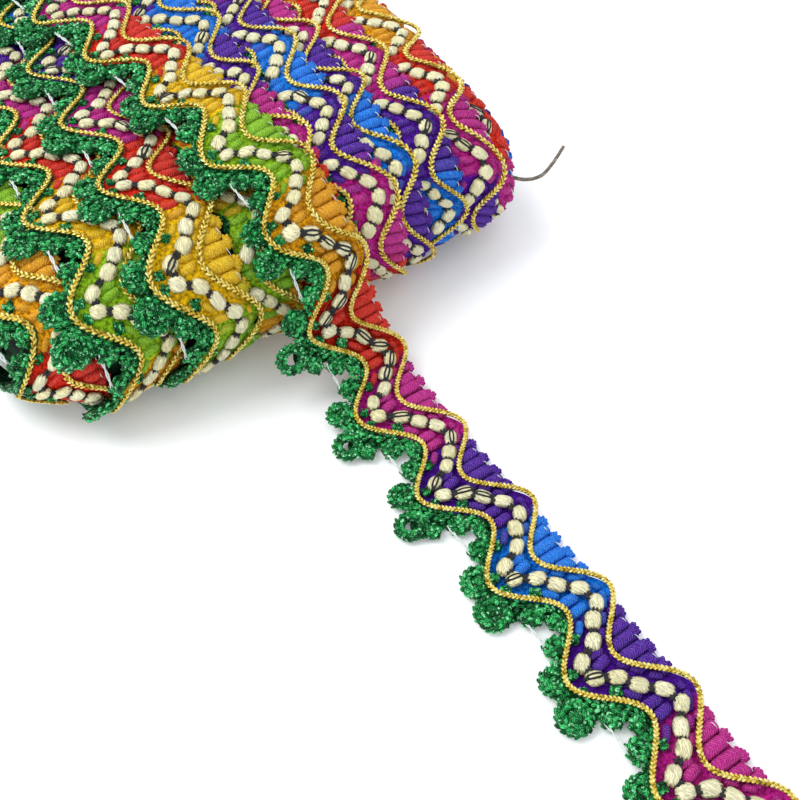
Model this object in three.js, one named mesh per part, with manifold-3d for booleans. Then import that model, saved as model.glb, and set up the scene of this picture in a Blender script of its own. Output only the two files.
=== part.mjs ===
// A flat-wound roll of sequin trim, with its loose end drawn out over the front and along the surface.
// Millimetres, +Z up. X runs along the winding axis and the turns run along Y.
// The loose end leaves the middle of the front, which is the -Y side, at the top of the roll.
import * as THREE from 'three';
import { mergeVertices } from 'three/addons/utils/BufferGeometryUtils.js';
import Module from 'manifold-3d';

const wasm = await Module();
wasm.setup();

// The trim, laid flat: s runs along it, t across it from the green edge (negative) to the coloured edge
const REPEAT = 22;
const CORD_DIAMETER = 1.0;
const LACE_THICKNESS = 1.4;
const LAYER_GAP = 0.35;
const UPPER_CORD = { level: 5.1, swing: 3.9 };
const LOWER_CORD = { level: -4.8, swing: 4.0 };
const SEQUIN_ROW = { level: 0.1, swing: 4.8 };
const PICOT_LINE = 8.1;
const PICOT_HEIGHT = 0.6;
const PICOTS_PER_REPEAT = 6;
const CORD_HEM = 0.6;
const RECESS_FLOOR = -1.9;

// Crocheted lobes of one repeat of the green edge: centre along and across, and radius
const GREEN_LOBES = [
  { s: 2.5, t: -6.9, radius: 2.4 },
  { s: 7.6, t: -10.9, radius: 3.2 },
  { s: 13.8, t: -11.7, radius: 3.7 },
  { s: 17.6, t: -7.4, radius: 2.4 },
  { s: 21.2, t: -3.4, radius: 1.5 },
];

// Gathered lamé ribbon: flat puffs tied off by thread
const PUFFS_PER_REPEAT = 8;
const PUFF = { width: 2.5, height: 1.3, neck: 1.0 };
const PUFF_SHOULDER = { across: 0.9, up: 0.6 };
const ROW_MARGIN = 2;
const CORD_MARGIN = 0.5;

// The roll's section across the turns, a row for each place along the winding axis
const ROLL_SECTIONS = [
  { x: -63, top: 22, front: -69, back: 71 },
  { x: -56, top: 27, front: -77, back: 79 },
  { x: -46, top: 30, front: -84, back: 85 },
  { x: -33, top: 33, front: -84.5, back: 86 },
  { x: -19, top: 35, front: -83.5, back: 85 },
  { x: 0, top: 36.5, front: -83, back: 84 },
  { x: 17, top: 37, front: -81, back: 85 },
  { x: 34, top: 36, front: -78.5, back: 84 },
  { x: 46, top: 34, front: -77, back: 82 },
  { x: 56, top: 29.5, front: -75, back: 79 },
  { x: 62, top: 25, front: -71, back: 74 },
];
const END_ROUND = 26;
const END_POWER = 2.2;
const EDGE_FROM = 56;
const EDGE_WIDTH = 7;
const EDGE_LIFT = 4;

// Turns that show on the roll, from the topmost down: centre line, a point of the upper cord's
// wave on the flat of the roll, and how high each side of the band lies over its neighbour
const TURNS = [
  { name: 'last', x: 0, apex: -48.5, level: 2.6, tilt: 0 },
  { name: 'left_1', x: -19, apex: -46.8, level: 0.2, tilt: -0.15 },
  { name: 'left_2', x: -33.5, apex: -45.2, level: 0, tilt: -0.15 },
  { name: 'left_3', x: -49, apex: -53, level: 0, tilt: -0.15 },
  { name: 'right_1', x: 5, apex: -42.6, level: 0, tilt: 0.15 },
  { name: 'right_2', x: 17, apex: -35.2, level: 0, tilt: 0.15 },
  { name: 'right_3', x: 24.5, apex: -53.4, level: 0, tilt: 0.15 },
  { name: 'right_4', x: 34.5, apex: -44.6, level: 0, tilt: 0.15 },
  { name: 'right_5', x: 42, apex: -39, level: 0, tilt: 0.15 },
  { name: 'right_6', x: 50, apex: -45.3, level: 0, tilt: 0.15 },
];
const BETWEEN_TURNS = -2.0;
// The bands flatten out between these heights over the underside, which lies on the surface
const FLATTENED = { from: 1, to: 9 };
// The sequin row and its cords stand up from the lace as a zigzag rib
const RIB = { halfWidth: 4.2, rise: 0.8 };

// The last turn's centre line crosses the roll on a slant
const LAST_TURN_LINE = [
  { y: -90, x: 6.8 },
  { y: -74, x: 4.5 },
  { y: -52, x: -0.5 },
  { y: -28, x: -5 },
  { y: -6, x: -10.3 },
  { y: 30, x: -17.5 },
  { y: 95, x: -28 },
];
const LAST_TURN_STOPS = -9;

// How the wound layers' edges step in and out across each side of the roll
const SIDE_STEPS = [
  { scale: 0.9, out: 1.6 },
  { scale: 0.74, out: 0.2 },
  { scale: 0.56, out: 1.5 },
  { scale: 0.36, out: 0.3 },
  { scale: 0.14, out: 1.2 },
];
const SIDE_SHORTENING = 0.35;

// Underside of the loose end, from the front of the roll down to the surface and along it
const LOOSE_PATH = [
  { x: 6.2, y: -83.4, z: 27.6 },
  { x: 6.8, y: -86.9, z: 20.6 },
  { x: 7.3, y: -91.2, z: 10.6 },
  { x: 8.1, y: -99.2, z: 3.4 },
  { x: 8.9, y: -109.8, z: 0.9 },
  { x: 9.7, y: -120.8, z: 0.2 },
  { x: 11.2, y: -142.8, z: 0.2 },
  { x: 13.6, y: -175.8, z: 0.2 },
  { x: 16.8, y: -229.5, z: 0.2 },
];
const LOOSE_START = -7;
const LOOSE_END = 153;

// Free end of the coated wire that ties the turns, at the roll's right front corner
const TIE_DIAMETER = 1.0;
const TIE_CLEARANCE = 0.4;
const TIE_ROUTE = [
  [51, -66, 16.5],
  [56, -72, 16.5],
  [60, -76.5, 16.3],
  [63.5, -77.6, 16.6],
  [67.5, -76.2, 18],
  [72.5, -73.6, 20.4],
];

// How finely the surfaces are stepped
const COLUMNS = 56;
const TOP_ROWS = 38;
const END_ROWS = 16;
const BOTTOM_ROWS = 4;
const LACE_STEP = 1.1;
const CORD_STEP = 1.8;
const STRAND_SIDES = 6;

function material(color, roughness, metalness) {
  return new THREE.MeshStandardMaterial({ color, roughness, metalness });
}

const FINISHES = {
  wound: material(0x1d7a45, 0.6, 0.2),
  green: material(0x158a47, 0.45, 0.4),
  dyed: material(0x7a2fb0, 0.85, 0),
  gold: material(0xd6a83a, 0.35, 0.8),
  lame: material(0xe9dcae, 0.4, 0.5),
  wire: material(0x6f675c, 0.7, 0.1),
};

// Reads column `name` of a table at `at` along column `key`
function lookUp(table, key, name, at) {
  if (at <= table[0][key]) return table[0][name];
  for (let i = 1; i < table.length; i++) {
    const low = table[i - 1];
    const high = table[i];
    if (at <= high[key]) {
      const f = (at - low[key]) / (high[key] - low[key]);
      return low[name] + (high[name] - low[name]) * f;
    }
  }
  return table[table.length - 1][name];
}

function wave(row, s) {
  return row.level + row.swing * Math.cos((2 * Math.PI * s) / REPEAT);
}

// Height of the green edge's outline, the lowest lobe at s, or the short hem under the cord
function greenEdge(s) {
  let low = Math.min(wave(LOWER_CORD, s) - CORD_HEM, RECESS_FLOOR);
  const first = Math.floor(s / REPEAT);
  for (let k = first - 1; k <= first + 1; k++) {
    for (const lobe of GREEN_LOBES) {
      const ds = s - k * REPEAT - lobe.s;
      if (Math.abs(ds) < lobe.radius) low = Math.min(low, lobe.t - Math.sqrt(lobe.radius ** 2 - ds ** 2));
    }
  }
  return low;
}

// The coloured edge is a line of picots that fills the cord's valleys, so the cord's tops reach past it
function colourEdge(s) {
  const picots = PICOT_LINE + PICOT_HEIGHT * Math.abs(Math.sin((Math.PI * PICOTS_PER_REPEAT * s) / REPEAT));
  return Math.max(picots, wave(UPPER_CORD, s) + CORD_HEM);
}

// Turns a list of rings of points, all of one length, into a closed shell
function shell(rings) {
  const count = rings[0].length;
  const points = rings.flat();
  const triangles = [];
  for (let r = 0; r < rings.length - 1; r++) {
    for (let j = 0; j < count; j++) {
      const a = r * count + j;
      const b = r * count + ((j + 1) % count);
      triangles.push(a, b, a + count, b, b + count, a + count);
    }
  }
  for (const [ring, turned] of [[0, false], [rings.length - 1, true]]) {
    const centre = rings[ring].reduce((sum, p) => sum.add(p), new THREE.Vector3()).divideScalar(count);
    points.push(centre);
    for (let j = 0; j < count; j++) {
      const a = ring * count + j;
      const b = ring * count + ((j + 1) % count);
      if (turned) triangles.push(a, b, points.length - 1);
      else triangles.push(b, a, points.length - 1);
    }
  }
  let volume = 0;
  for (let i = 0; i < triangles.length; i += 3) {
    const [a, b, c] = [points[triangles[i]], points[triangles[i + 1]], points[triangles[i + 2]]];
    volume += a.dot(new THREE.Vector3().crossVectors(b, c));
  }
  if (volume < 0) triangles.reverse();
  const geometry = new THREE.BufferGeometry();
  geometry.setAttribute('position', new THREE.Float32BufferAttribute(points.flatMap((p) => p.toArray()), 3));
  geometry.setIndex(triangles);
  return geometry;
}

function toSolid(geometry) {
  const plain = geometry.clone();
  plain.deleteAttribute('normal');
  plain.deleteAttribute('uv');
  const merged = mergeVertices(plain, 1e-5);
  return new wasm.Manifold(new wasm.Mesh({
    numProp: 3,
    vertProperties: new Float32Array(merged.attributes.position.array),
    triVerts: new Uint32Array(merged.index.array),
  }));
}

function toGeometry(solid) {
  const mesh = solid.getMesh();
  const geometry = new THREE.BufferGeometry();
  geometry.setAttribute('position', new THREE.Float32BufferAttribute(mesh.vertProperties, 3));
  geometry.setIndex(Array.from(mesh.triVerts));
  return geometry;
}

// Section of the roll at x. The outermost turns' edges draw in and lift a little.
function rollSection(x) {
  const edge = Math.max(0, (Math.abs(x) - EDGE_FROM) / EDGE_WIDTH);
  return {
    top: lookUp(ROLL_SECTIONS, 'x', 'top', x),
    bottom: EDGE_LIFT * edge * edge,
    front: lookUp(ROLL_SECTIONS, 'x', 'front', x),
    back: lookUp(ROLL_SECTIONS, 'x', 'back', x),
  };
}

function roundedEnd(section, angle, sign) {
  const middle = (section.top + section.bottom) / 2;
  const half = (section.top - section.bottom) / 2;
  const power = 2 / END_POWER;
  const reach = END_ROUND * Math.abs(Math.sin(angle)) ** power;
  const rise = half * Math.sign(Math.cos(angle)) * Math.abs(Math.cos(angle)) ** power;
  const y = sign < 0 ? section.front + END_ROUND - reach : section.back - END_ROUND + reach;
  return { y, z: middle + rise };
}

// Points round the section, from the back of the flat top to the front, under, and up the back
function sectionPath(section) {
  const path = [];
  const topFrom = section.back - END_ROUND;
  const topTo = section.front + END_ROUND;
  for (let i = 0; i < TOP_ROWS; i++) {
    path.push({ y: topFrom + ((topTo - topFrom) * i) / TOP_ROWS, z: section.top });
  }
  for (let i = 0; i < END_ROWS; i++) path.push(roundedEnd(section, (Math.PI * i) / END_ROWS, -1));
  for (let i = 0; i < BOTTOM_ROWS; i++) {
    path.push({ y: topTo + ((topFrom - topTo) * i) / BOTTOM_ROWS, z: section.bottom });
  }
  for (let i = 0; i < END_ROWS; i++) path.push(roundedEnd(section, Math.PI - (Math.PI * i) / END_ROWS, 1));
  return path;
}

// Distance along the turn at each point of a section, counted towards the front from y = 0 on top
function runLengths(path) {
  const lengths = [-path[0].y];
  for (let i = 1; i < path.length; i++) {
    lengths.push(lengths[i - 1] + Math.hypot(path[i].y - path[i - 1].y, path[i].z - path[i - 1].z));
  }
  return lengths;
}

// How far the topmost band at this place stands out from the mean surface
function reliefOfTurns(x, y, run, runToTip) {
  for (const turn of TURNS) {
    const isLast = turn.name === 'last';
    const centre = isLast ? lookUp(LAST_TURN_LINE, 'y', 'x', y) : turn.x;
    const t = x - centre;
    const s = run + turn.apex;
    if (isLast && run > runToTip + LAST_TURN_STOPS) continue;
    if (t < greenEdge(s) || t > colourEdge(s)) continue;
    const onRib = Math.abs(t - wave(SEQUIN_ROW, s)) < RIB.halfWidth;
    return turn.level + turn.tilt * t + (onRib ? RIB.rise : 0);
  }
  return BETWEEN_TURNS;
}

// One ring of the roll: the section at x with the turns' bands raised, except where it rests
function rollRing(x) {
  const section = rollSection(x);
  const path = sectionPath(section);
  const runs = runLengths(path);
  const tipRow = TOP_ROWS + END_ROWS / 2;
  const count = path.length;
  return path.map((p, i) => {
    const before = path[(i + count - 1) % count];
    const after = path[(i + 1) % count];
    const along = new THREE.Vector2(after.y - before.y, after.z - before.z).normalize();
    const free = THREE.MathUtils.smoothstep(p.z - section.bottom, FLATTENED.from, FLATTENED.to);
    const relief = reliefOfTurns(x, p.y, runs[i], runs[tipRow]) * free;
    return new THREE.Vector3(x, p.y + along.y * relief, p.z - along.x * relief);
  });
}

// Rings that close one side of the roll, stepped in and out like the edges of the wound layers
function sideRings(ring, outward) {
  const centre = ring.reduce((sum, p) => sum.add(p), new THREE.Vector3()).divideScalar(ring.length);
  return SIDE_STEPS.map(({ scale, out }) => ring.map((p) => new THREE.Vector3(
    p.x + outward * out,
    centre.y + (p.y - centre.y) * (1 - (1 - scale) * SIDE_SHORTENING),
    centre.z + (p.z - centre.z) * scale,
  )));
}

function woundRoll() {
  const first = ROLL_SECTIONS[0].x;
  const last = ROLL_SECTIONS[ROLL_SECTIONS.length - 1].x;
  const rings = [];
  for (let i = 0; i <= COLUMNS; i++) rings.push(rollRing(first + ((last - first) * i) / COLUMNS));
  const left = sideRings(rings[0], -1).reverse();
  const right = sideRings(rings[COLUMNS], 1);
  const body = toSolid(shell([...left, ...rings, ...right]));
  const channel = toSolid(strand(tieCurve(), TIE_DIAMETER / 2 + TIE_CLEARANCE, TIE_ROUTE.length * 3));
  return toGeometry(body.subtract(channel));
}

// The loose end's curve, read by the distance s along the trim
const looseCurve = new THREE.CatmullRomCurve3(
  LOOSE_PATH.map((p) => new THREE.Vector3(p.x, p.y, p.z)),
  false,
  'centripetal',
);
looseCurve.arcLengthDivisions = 800;

// Places a point of the flat trim on the loose end: s along, t across, h above its underside
function onLooseEnd(s, t, h) {
  const u = THREE.MathUtils.clamp((s - LOOSE_START) / looseCurve.getLength(), 0, 1);
  const tangent = looseCurve.getTangentAt(u);
  const across = new THREE.Vector3(0, 0, 1).cross(tangent).normalize();
  const up = tangent.clone().cross(across);
  return looseCurve.getPointAt(u).addScaledVector(across, t).addScaledVector(up, h);
}

// A band of lace on the loose end between two outlines
function laceBand(lowEdge, highEdge) {
  const steps = Math.round((LOOSE_END - LOOSE_START) / LACE_STEP);
  const rings = [];
  for (let i = 0; i <= steps; i++) {
    const s = LOOSE_START + ((LOOSE_END - LOOSE_START) * i) / steps;
    const low = lowEdge(s);
    const high = highEdge(s);
    rings.push([
      onLooseEnd(s, low, 0),
      onLooseEnd(s, high, 0),
      onLooseEnd(s, high, LACE_THICKNESS),
      onLooseEnd(s, low, LACE_THICKNESS),
    ]);
  }
  return shell(rings);
}

class CordCurve extends THREE.Curve {
  constructor(row) {
    super();
    this.row = row;
  }

  getPoint(u) {
    const s = LOOSE_START + CORD_MARGIN + (LOOSE_END - LOOSE_START - 2 * CORD_MARGIN) * u;
    return onLooseEnd(s, wave(this.row, s), LACE_THICKNESS + LAYER_GAP + CORD_DIAMETER / 2);
  }
}

// A round strand along a curve
function strand(curve, radius, steps) {
  const outline = new THREE.Shape();
  for (let i = 0; i < STRAND_SIDES; i++) {
    const a = (2 * Math.PI * i) / STRAND_SIDES;
    if (i === 0) outline.moveTo(radius * Math.cos(a), radius * Math.sin(a));
    else outline.lineTo(radius * Math.cos(a), radius * Math.sin(a));
  }
  return new THREE.ExtrudeGeometry(outline, { steps, extrudePath: curve, bevelEnabled: false });
}

function goldCord(row) {
  const curve = new CordCurve(row);
  return strand(curve, CORD_DIAMETER / 2, Math.round(curve.getLength() / CORD_STEP));
}

function tieCurve() {
  return new THREE.CatmullRomCurve3(TIE_ROUTE.map((p) => new THREE.Vector3(...p)), false, 'centripetal');
}

// The gathered ribbon between the cords: full at each puff and narrow at each tie
function sequinRow() {
  const pitch = REPEAT / PUFFS_PER_REPEAT;
  const base = LACE_THICKNESS + LAYER_GAP;
  const { across: shoulder, up } = PUFF_SHOULDER;
  const rings = [];
  const stations = Math.round((3 * (LOOSE_END - LOOSE_START - 2 * ROW_MARGIN)) / pitch);
  for (let i = 0; i <= stations; i++) {
    const s = LOOSE_START + ROW_MARGIN + (i * pitch) / 3;
    const slope = (wave(SEQUIN_ROW, s + 0.01) - wave(SEQUIN_ROW, s - 0.01)) / 0.02;
    const lean = Math.hypot(1, slope);
    const full = i % 3 !== 0;
    const half = (full ? PUFF.width : PUFF.neck) / 2;
    const rise = full ? PUFF.height : PUFF.neck / 2;
    const middle = wave(SEQUIN_ROW, s);
    const at = (across, h) => onLooseEnd(s - (across * slope) / lean, middle + across / lean, base + h);
    rings.push([
      at(-half, 0),
      at(half, 0),
      at(half * shoulder, rise * up),
      at(0, rise),
      at(-half * shoulder, rise * up),
    ]);
  }
  return shell(rings);
}

function piece(name, geometry, finish) {
  const mesh = new THREE.Mesh(geometry, finish);
  mesh.name = name;
  return mesh;
}

const rollOfTrim = new THREE.Group();
rollOfTrim.add(
  piece('wound_roll', woundRoll(), FINISHES.wound),
  piece('loose_green_lace', laceBand(greenEdge, (s) => wave(SEQUIN_ROW, s) - LAYER_GAP), FINISHES.green),
  piece('loose_colour_lace', laceBand((s) => wave(SEQUIN_ROW, s) + LAYER_GAP, colourEdge), FINISHES.dyed),
  piece('loose_lower_cord', goldCord(LOWER_CORD), FINISHES.gold),
  piece('loose_upper_cord', goldCord(UPPER_CORD), FINISHES.gold),
  piece('loose_sequin_row', sequinRow(), FINISHES.lame),
  piece('tie_wire_end', strand(tieCurve(), TIE_DIAMETER / 2, TIE_ROUTE.length * 2), FINISHES.wire),
);

// The frame's origin is the middle of the whole part's footprint, on the surface that it rests on
const bounds = new THREE.Box3().setFromObject(rollOfTrim);
rollOfTrim.position.set(
  -(bounds.min.x + bounds.max.x) / 2,
  -(bounds.min.y + bounds.max.y) / 2,
  -bounds.min.z,
);

export default rollOfTrim;
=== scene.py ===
"""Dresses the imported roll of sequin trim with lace, chenille, gold cords, sequins and threads.

Sizes are in millimetres in the roll's own coordinates, and MM turns them to metres in the frame's.
The flat trim is described by three numbers: s along it, t across it from the green edge (negative) to
the coloured edge, and h above its underside. A course lays that flat pattern on the roll or the surface.
"""

from __future__ import annotations

import logging
import math
from dataclasses import dataclass, field
from enum import Enum
from typing import Callable, Optional, Sequence, Union

import bmesh
import bpy
import numpy as np
from mathutils import Matrix, Vector

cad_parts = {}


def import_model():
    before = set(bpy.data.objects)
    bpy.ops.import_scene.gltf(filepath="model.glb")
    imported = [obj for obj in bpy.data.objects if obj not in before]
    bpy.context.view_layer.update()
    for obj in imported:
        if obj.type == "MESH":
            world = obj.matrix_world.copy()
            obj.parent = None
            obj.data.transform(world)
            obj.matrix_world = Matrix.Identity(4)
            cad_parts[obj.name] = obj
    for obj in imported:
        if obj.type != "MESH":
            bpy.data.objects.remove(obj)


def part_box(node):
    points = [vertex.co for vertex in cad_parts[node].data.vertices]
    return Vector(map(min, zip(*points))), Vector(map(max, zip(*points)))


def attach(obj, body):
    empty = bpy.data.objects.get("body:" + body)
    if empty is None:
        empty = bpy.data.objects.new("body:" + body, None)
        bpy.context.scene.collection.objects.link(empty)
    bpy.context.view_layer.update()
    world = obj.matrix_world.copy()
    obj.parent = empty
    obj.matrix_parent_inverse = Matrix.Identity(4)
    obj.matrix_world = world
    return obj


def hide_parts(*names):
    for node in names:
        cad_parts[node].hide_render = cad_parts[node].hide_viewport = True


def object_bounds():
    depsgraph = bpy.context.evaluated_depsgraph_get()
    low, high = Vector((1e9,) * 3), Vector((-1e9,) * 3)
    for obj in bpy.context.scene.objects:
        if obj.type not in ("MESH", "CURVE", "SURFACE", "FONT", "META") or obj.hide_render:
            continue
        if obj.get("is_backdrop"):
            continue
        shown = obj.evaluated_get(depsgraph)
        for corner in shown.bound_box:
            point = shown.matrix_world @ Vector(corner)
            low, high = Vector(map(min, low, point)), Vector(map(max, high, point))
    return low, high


LOG = logging.getLogger("roll_of_sequin_trim")
MM = 0.001
UP = np.array([0.0, 0.0, 1.0])
Numbers = Union[float, np.ndarray]
Random = np.random.Generator
Colour = tuple[float, float, float, float]

# The flat trim, as the solids have it
REPEAT = 22.0
ROLL_EDGE_X = 63.6

# How far the roll's own origin lies behind the frame's
ROLL_ORIGIN_Y = 70.3944

# The roll's section across the turns: place along the axis, top, front and back
ROLL_SECTIONS = np.array(
    [
        (-69.0, 13.0, -62.0, 64.0), (-66.0, 18.0, -66.0, 68.0), (-63.0, 22.0, -69.0, 71.0),
        (-56.0, 27.0, -77.0, 79.0), (-46.0, 30.0, -84.0, 85.0), (-33.0, 33.0, -84.5, 86.0),
        (-19.0, 35.0, -83.5, 85.0), (0.0, 36.5, -83.0, 84.0), (17.0, 37.0, -81.0, 85.0),
        (34.0, 36.0, -78.5, 84.0), (46.0, 34.0, -77.0, 82.0), (56.0, 29.5, -75.0, 79.0),
        (62.0, 25.0, -71.0, 74.0), (66.0, 20.0, -67.0, 70.0),
    ]
)
END_ROUND = 26.0
END_POWER = 2.2
EDGE_FROM = 56.0
EDGE_WIDTH = 7.0
EDGE_LIFT = 4.0

# The last turn's centre line crosses the roll on a slant: y and x
LAST_TURN_LINE = np.array(
    [(-90, 6.8), (-74, 4.5), (-52, -0.5), (-28, -5.0), (-6, -10.3), (30, -17.5), (95, -28.0)]
)

# Underside of the loose end, from the front of the roll down to the surface and along it
LOOSE_PATH = np.array(
    [
        (6.2, -83.4, 27.6), (6.8, -86.9, 20.6), (7.3, -91.2, 10.6), (8.1, -99.2, 3.4), (8.9, -109.8, 0.9),
        (9.7, -120.8, 0.2), (11.2, -142.8, 0.2), (13.6, -175.8, 0.2), (16.8, -229.5, 0.2),
    ]
)
LOOSE_START = -7.0
LOOSE_END = 153.0

# Free end of the coated wire that ties the turns
TIE_ROUTE = np.array(
    [
        (51, -66, 16.5), (56, -72, 16.5), (60, -76.5, 16.3), (63.5, -77.6, 16.6), (67.5, -76.2, 17.2),
        (72.5, -73.6, 18.6),
    ]
)
TIE_RADIUS = 0.42

# The camera stood at this place, in the roll's own coordinates
CAMERA_PLACE = (-53.0, -216.0, 162.4)
CAMERA_HEADING_DEG = 30.0
CAMERA_DOWN_DEG = 52.0
CAMERA_LENS = 44.72


def smoothstep(value: Numbers, low: float, high: float) -> Numbers:
    """Eases from 0 at low to 1 at high."""
    share = np.clip((value - low) / (high - low), 0.0, 1.0)
    return share * share * (3.0 - 2.0 * share)


def wobble(at: Numbers, seed: int, length: float = 47.0) -> Numbers:
    """A slow, seeded unevenness from -1 to 1 along a distance.

    Args:
        at: distances in millimetres.
        seed: which unevenness.
        length: the longest wave in it.

    Returns:
        The unevenness at each distance.
    """
    phase = 1.7 * seed
    slow = np.sin(2 * math.pi * at / length + phase)
    fast = np.sin(2 * math.pi * at / (length * 0.41) + 2.3 * phase)
    return 0.6 * slow + 0.4 * fast


def unit(vectors: np.ndarray) -> np.ndarray:
    """Vectors brought to length one."""
    return vectors / np.maximum(np.linalg.norm(vectors, axis=-1, keepdims=True), 1e-9)


def upright(s: np.ndarray, t: Numbers = 0.0, h: Numbers = 0.0) -> np.ndarray:
    """Rows of three from columns, where a number stands for an even column."""
    return np.stack([s, np.zeros_like(s) + t, np.zeros_like(s) + h], 1)


@dataclass(frozen=True)
class Wave:
    """A line that swings across the trim once a repeat."""

    level: float
    swing: float

    def at(self, s: Numbers) -> Numbers:
        """Place across the trim at s."""
        return self.level + self.swing * np.cos(2 * math.pi * s / REPEAT)

    def slope(self, s: Numbers) -> Numbers:
        """How fast the line crosses the trim at s."""
        turn = 2 * math.pi / REPEAT
        return -self.swing * turn * np.sin(turn * s)


UPPER_CORD = Wave(5.1, 3.9)
LOWER_CORD = Wave(-4.8, 4.0)
SEQUIN_ROW = Wave(0.1, 4.8)


@dataclass(frozen=True)
class Lobe:
    """One crocheted hoop of the green edge, with its half sizes along and across the trim."""

    s: float
    t: float
    wide: float
    tall: float
    is_open: bool = False

    def share(self, line: np.ndarray) -> np.ndarray:
        """How far out each flat place lies: 1 on the hoop's rim, less inside it."""
        return ((line[:, 0] - self.s) / self.wide) ** 2 + ((line[:, 1] - self.t) / self.tall) ** 2


GREEN_LOBES = (
    Lobe(0.3, -3.6, 1.5, 1.4),
    Lobe(3.4, -5.9, 2.0, 2.4),
    Lobe(9.1, -10.2, 3.1, 3.1),
    Lobe(15.3, -11.1, 3.4, 3.3),
    Lobe(19.2, -6.1, 2.0, 2.4),
)
LOOPED_LOBES = (
    Lobe(0.3, -3.6, 1.5, 1.4),
    Lobe(3.4, -5.9, 2.0, 2.4),
    Lobe(7.8, -10.5, 2.9, 2.9),
    Lobe(14.4, -13.5, 3.0, 3.2, True),
    Lobe(17.4, -10.3, 1.9, 1.8),
    Lobe(19.4, -6.1, 1.9, 2.3),
)
GREEN_KNOBS = ((5.0, -2.5, 1.1), (9.9, -6.7, 1.1), (12.8, -6.9, 1.1), (16.3, -2.8, 1.5))


class Route:
    """A smooth curve through given points, read by distance."""

    STEPS = 60

    def __init__(self, points: np.ndarray, start: float = 0.0) -> None:
        """Samples the centripetal curve.

        Args:
            points: the points it passes, in millimetres.
            start: the distance that its first point counts as.
        """
        first = 2 * points[0] - points[1]
        last = 2 * points[-1] - points[-2]
        every = np.vstack([first, points, last])
        samples = []
        for i in range(1, len(every) - 2):
            samples.append(self._span(*every[i - 1 : i + 3]))
        self.points = np.vstack(samples + [points[-1:]])
        steps = np.linalg.norm(np.diff(self.points, axis=0), axis=1)
        self.distance = start + np.concatenate([[0.0], np.cumsum(steps)])
        self.tangents = np.gradient(self.points, self.distance, axis=0)

    def _span(self, a: np.ndarray, b: np.ndarray, c: np.ndarray, d: np.ndarray) -> np.ndarray:
        """Points from b up to c on the curve that also heeds a and d."""
        gaps = [max(float(np.linalg.norm(q - p)) ** 0.5, 1e-4) for p, q in ((a, b), (b, c), (c, d))]
        leave = (b - a) / gaps[0] - (c - a) / (gaps[0] + gaps[1]) + (c - b) / gaps[1]
        arrive = (c - b) / gaps[1] - (d - b) / (gaps[1] + gaps[2]) + (d - c) / gaps[2]
        leave, arrive = leave * gaps[1], arrive * gaps[1]
        x = np.linspace(0, 1, self.STEPS, endpoint=False)[:, None]
        square = -3 * b + 3 * c - 2 * leave - arrive
        cube = 2 * b - 2 * c + leave + arrive
        return b + leave * x + square * x**2 + cube * x**3

    def read(self, distance: np.ndarray) -> tuple[np.ndarray, np.ndarray]:
        """Point and unit tangent at each distance, going straight on past both ends."""
        inside = np.clip(distance, self.distance[0], self.distance[-1])
        point = np.stack([np.interp(inside, self.distance, self.points[:, i]) for i in range(3)], 1)
        tangent = np.stack([np.interp(inside, self.distance, self.tangents[:, i]) for i in range(3)], 1)
        tangent = unit(tangent)
        return point + tangent * (distance - inside)[:, None], tangent


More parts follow.
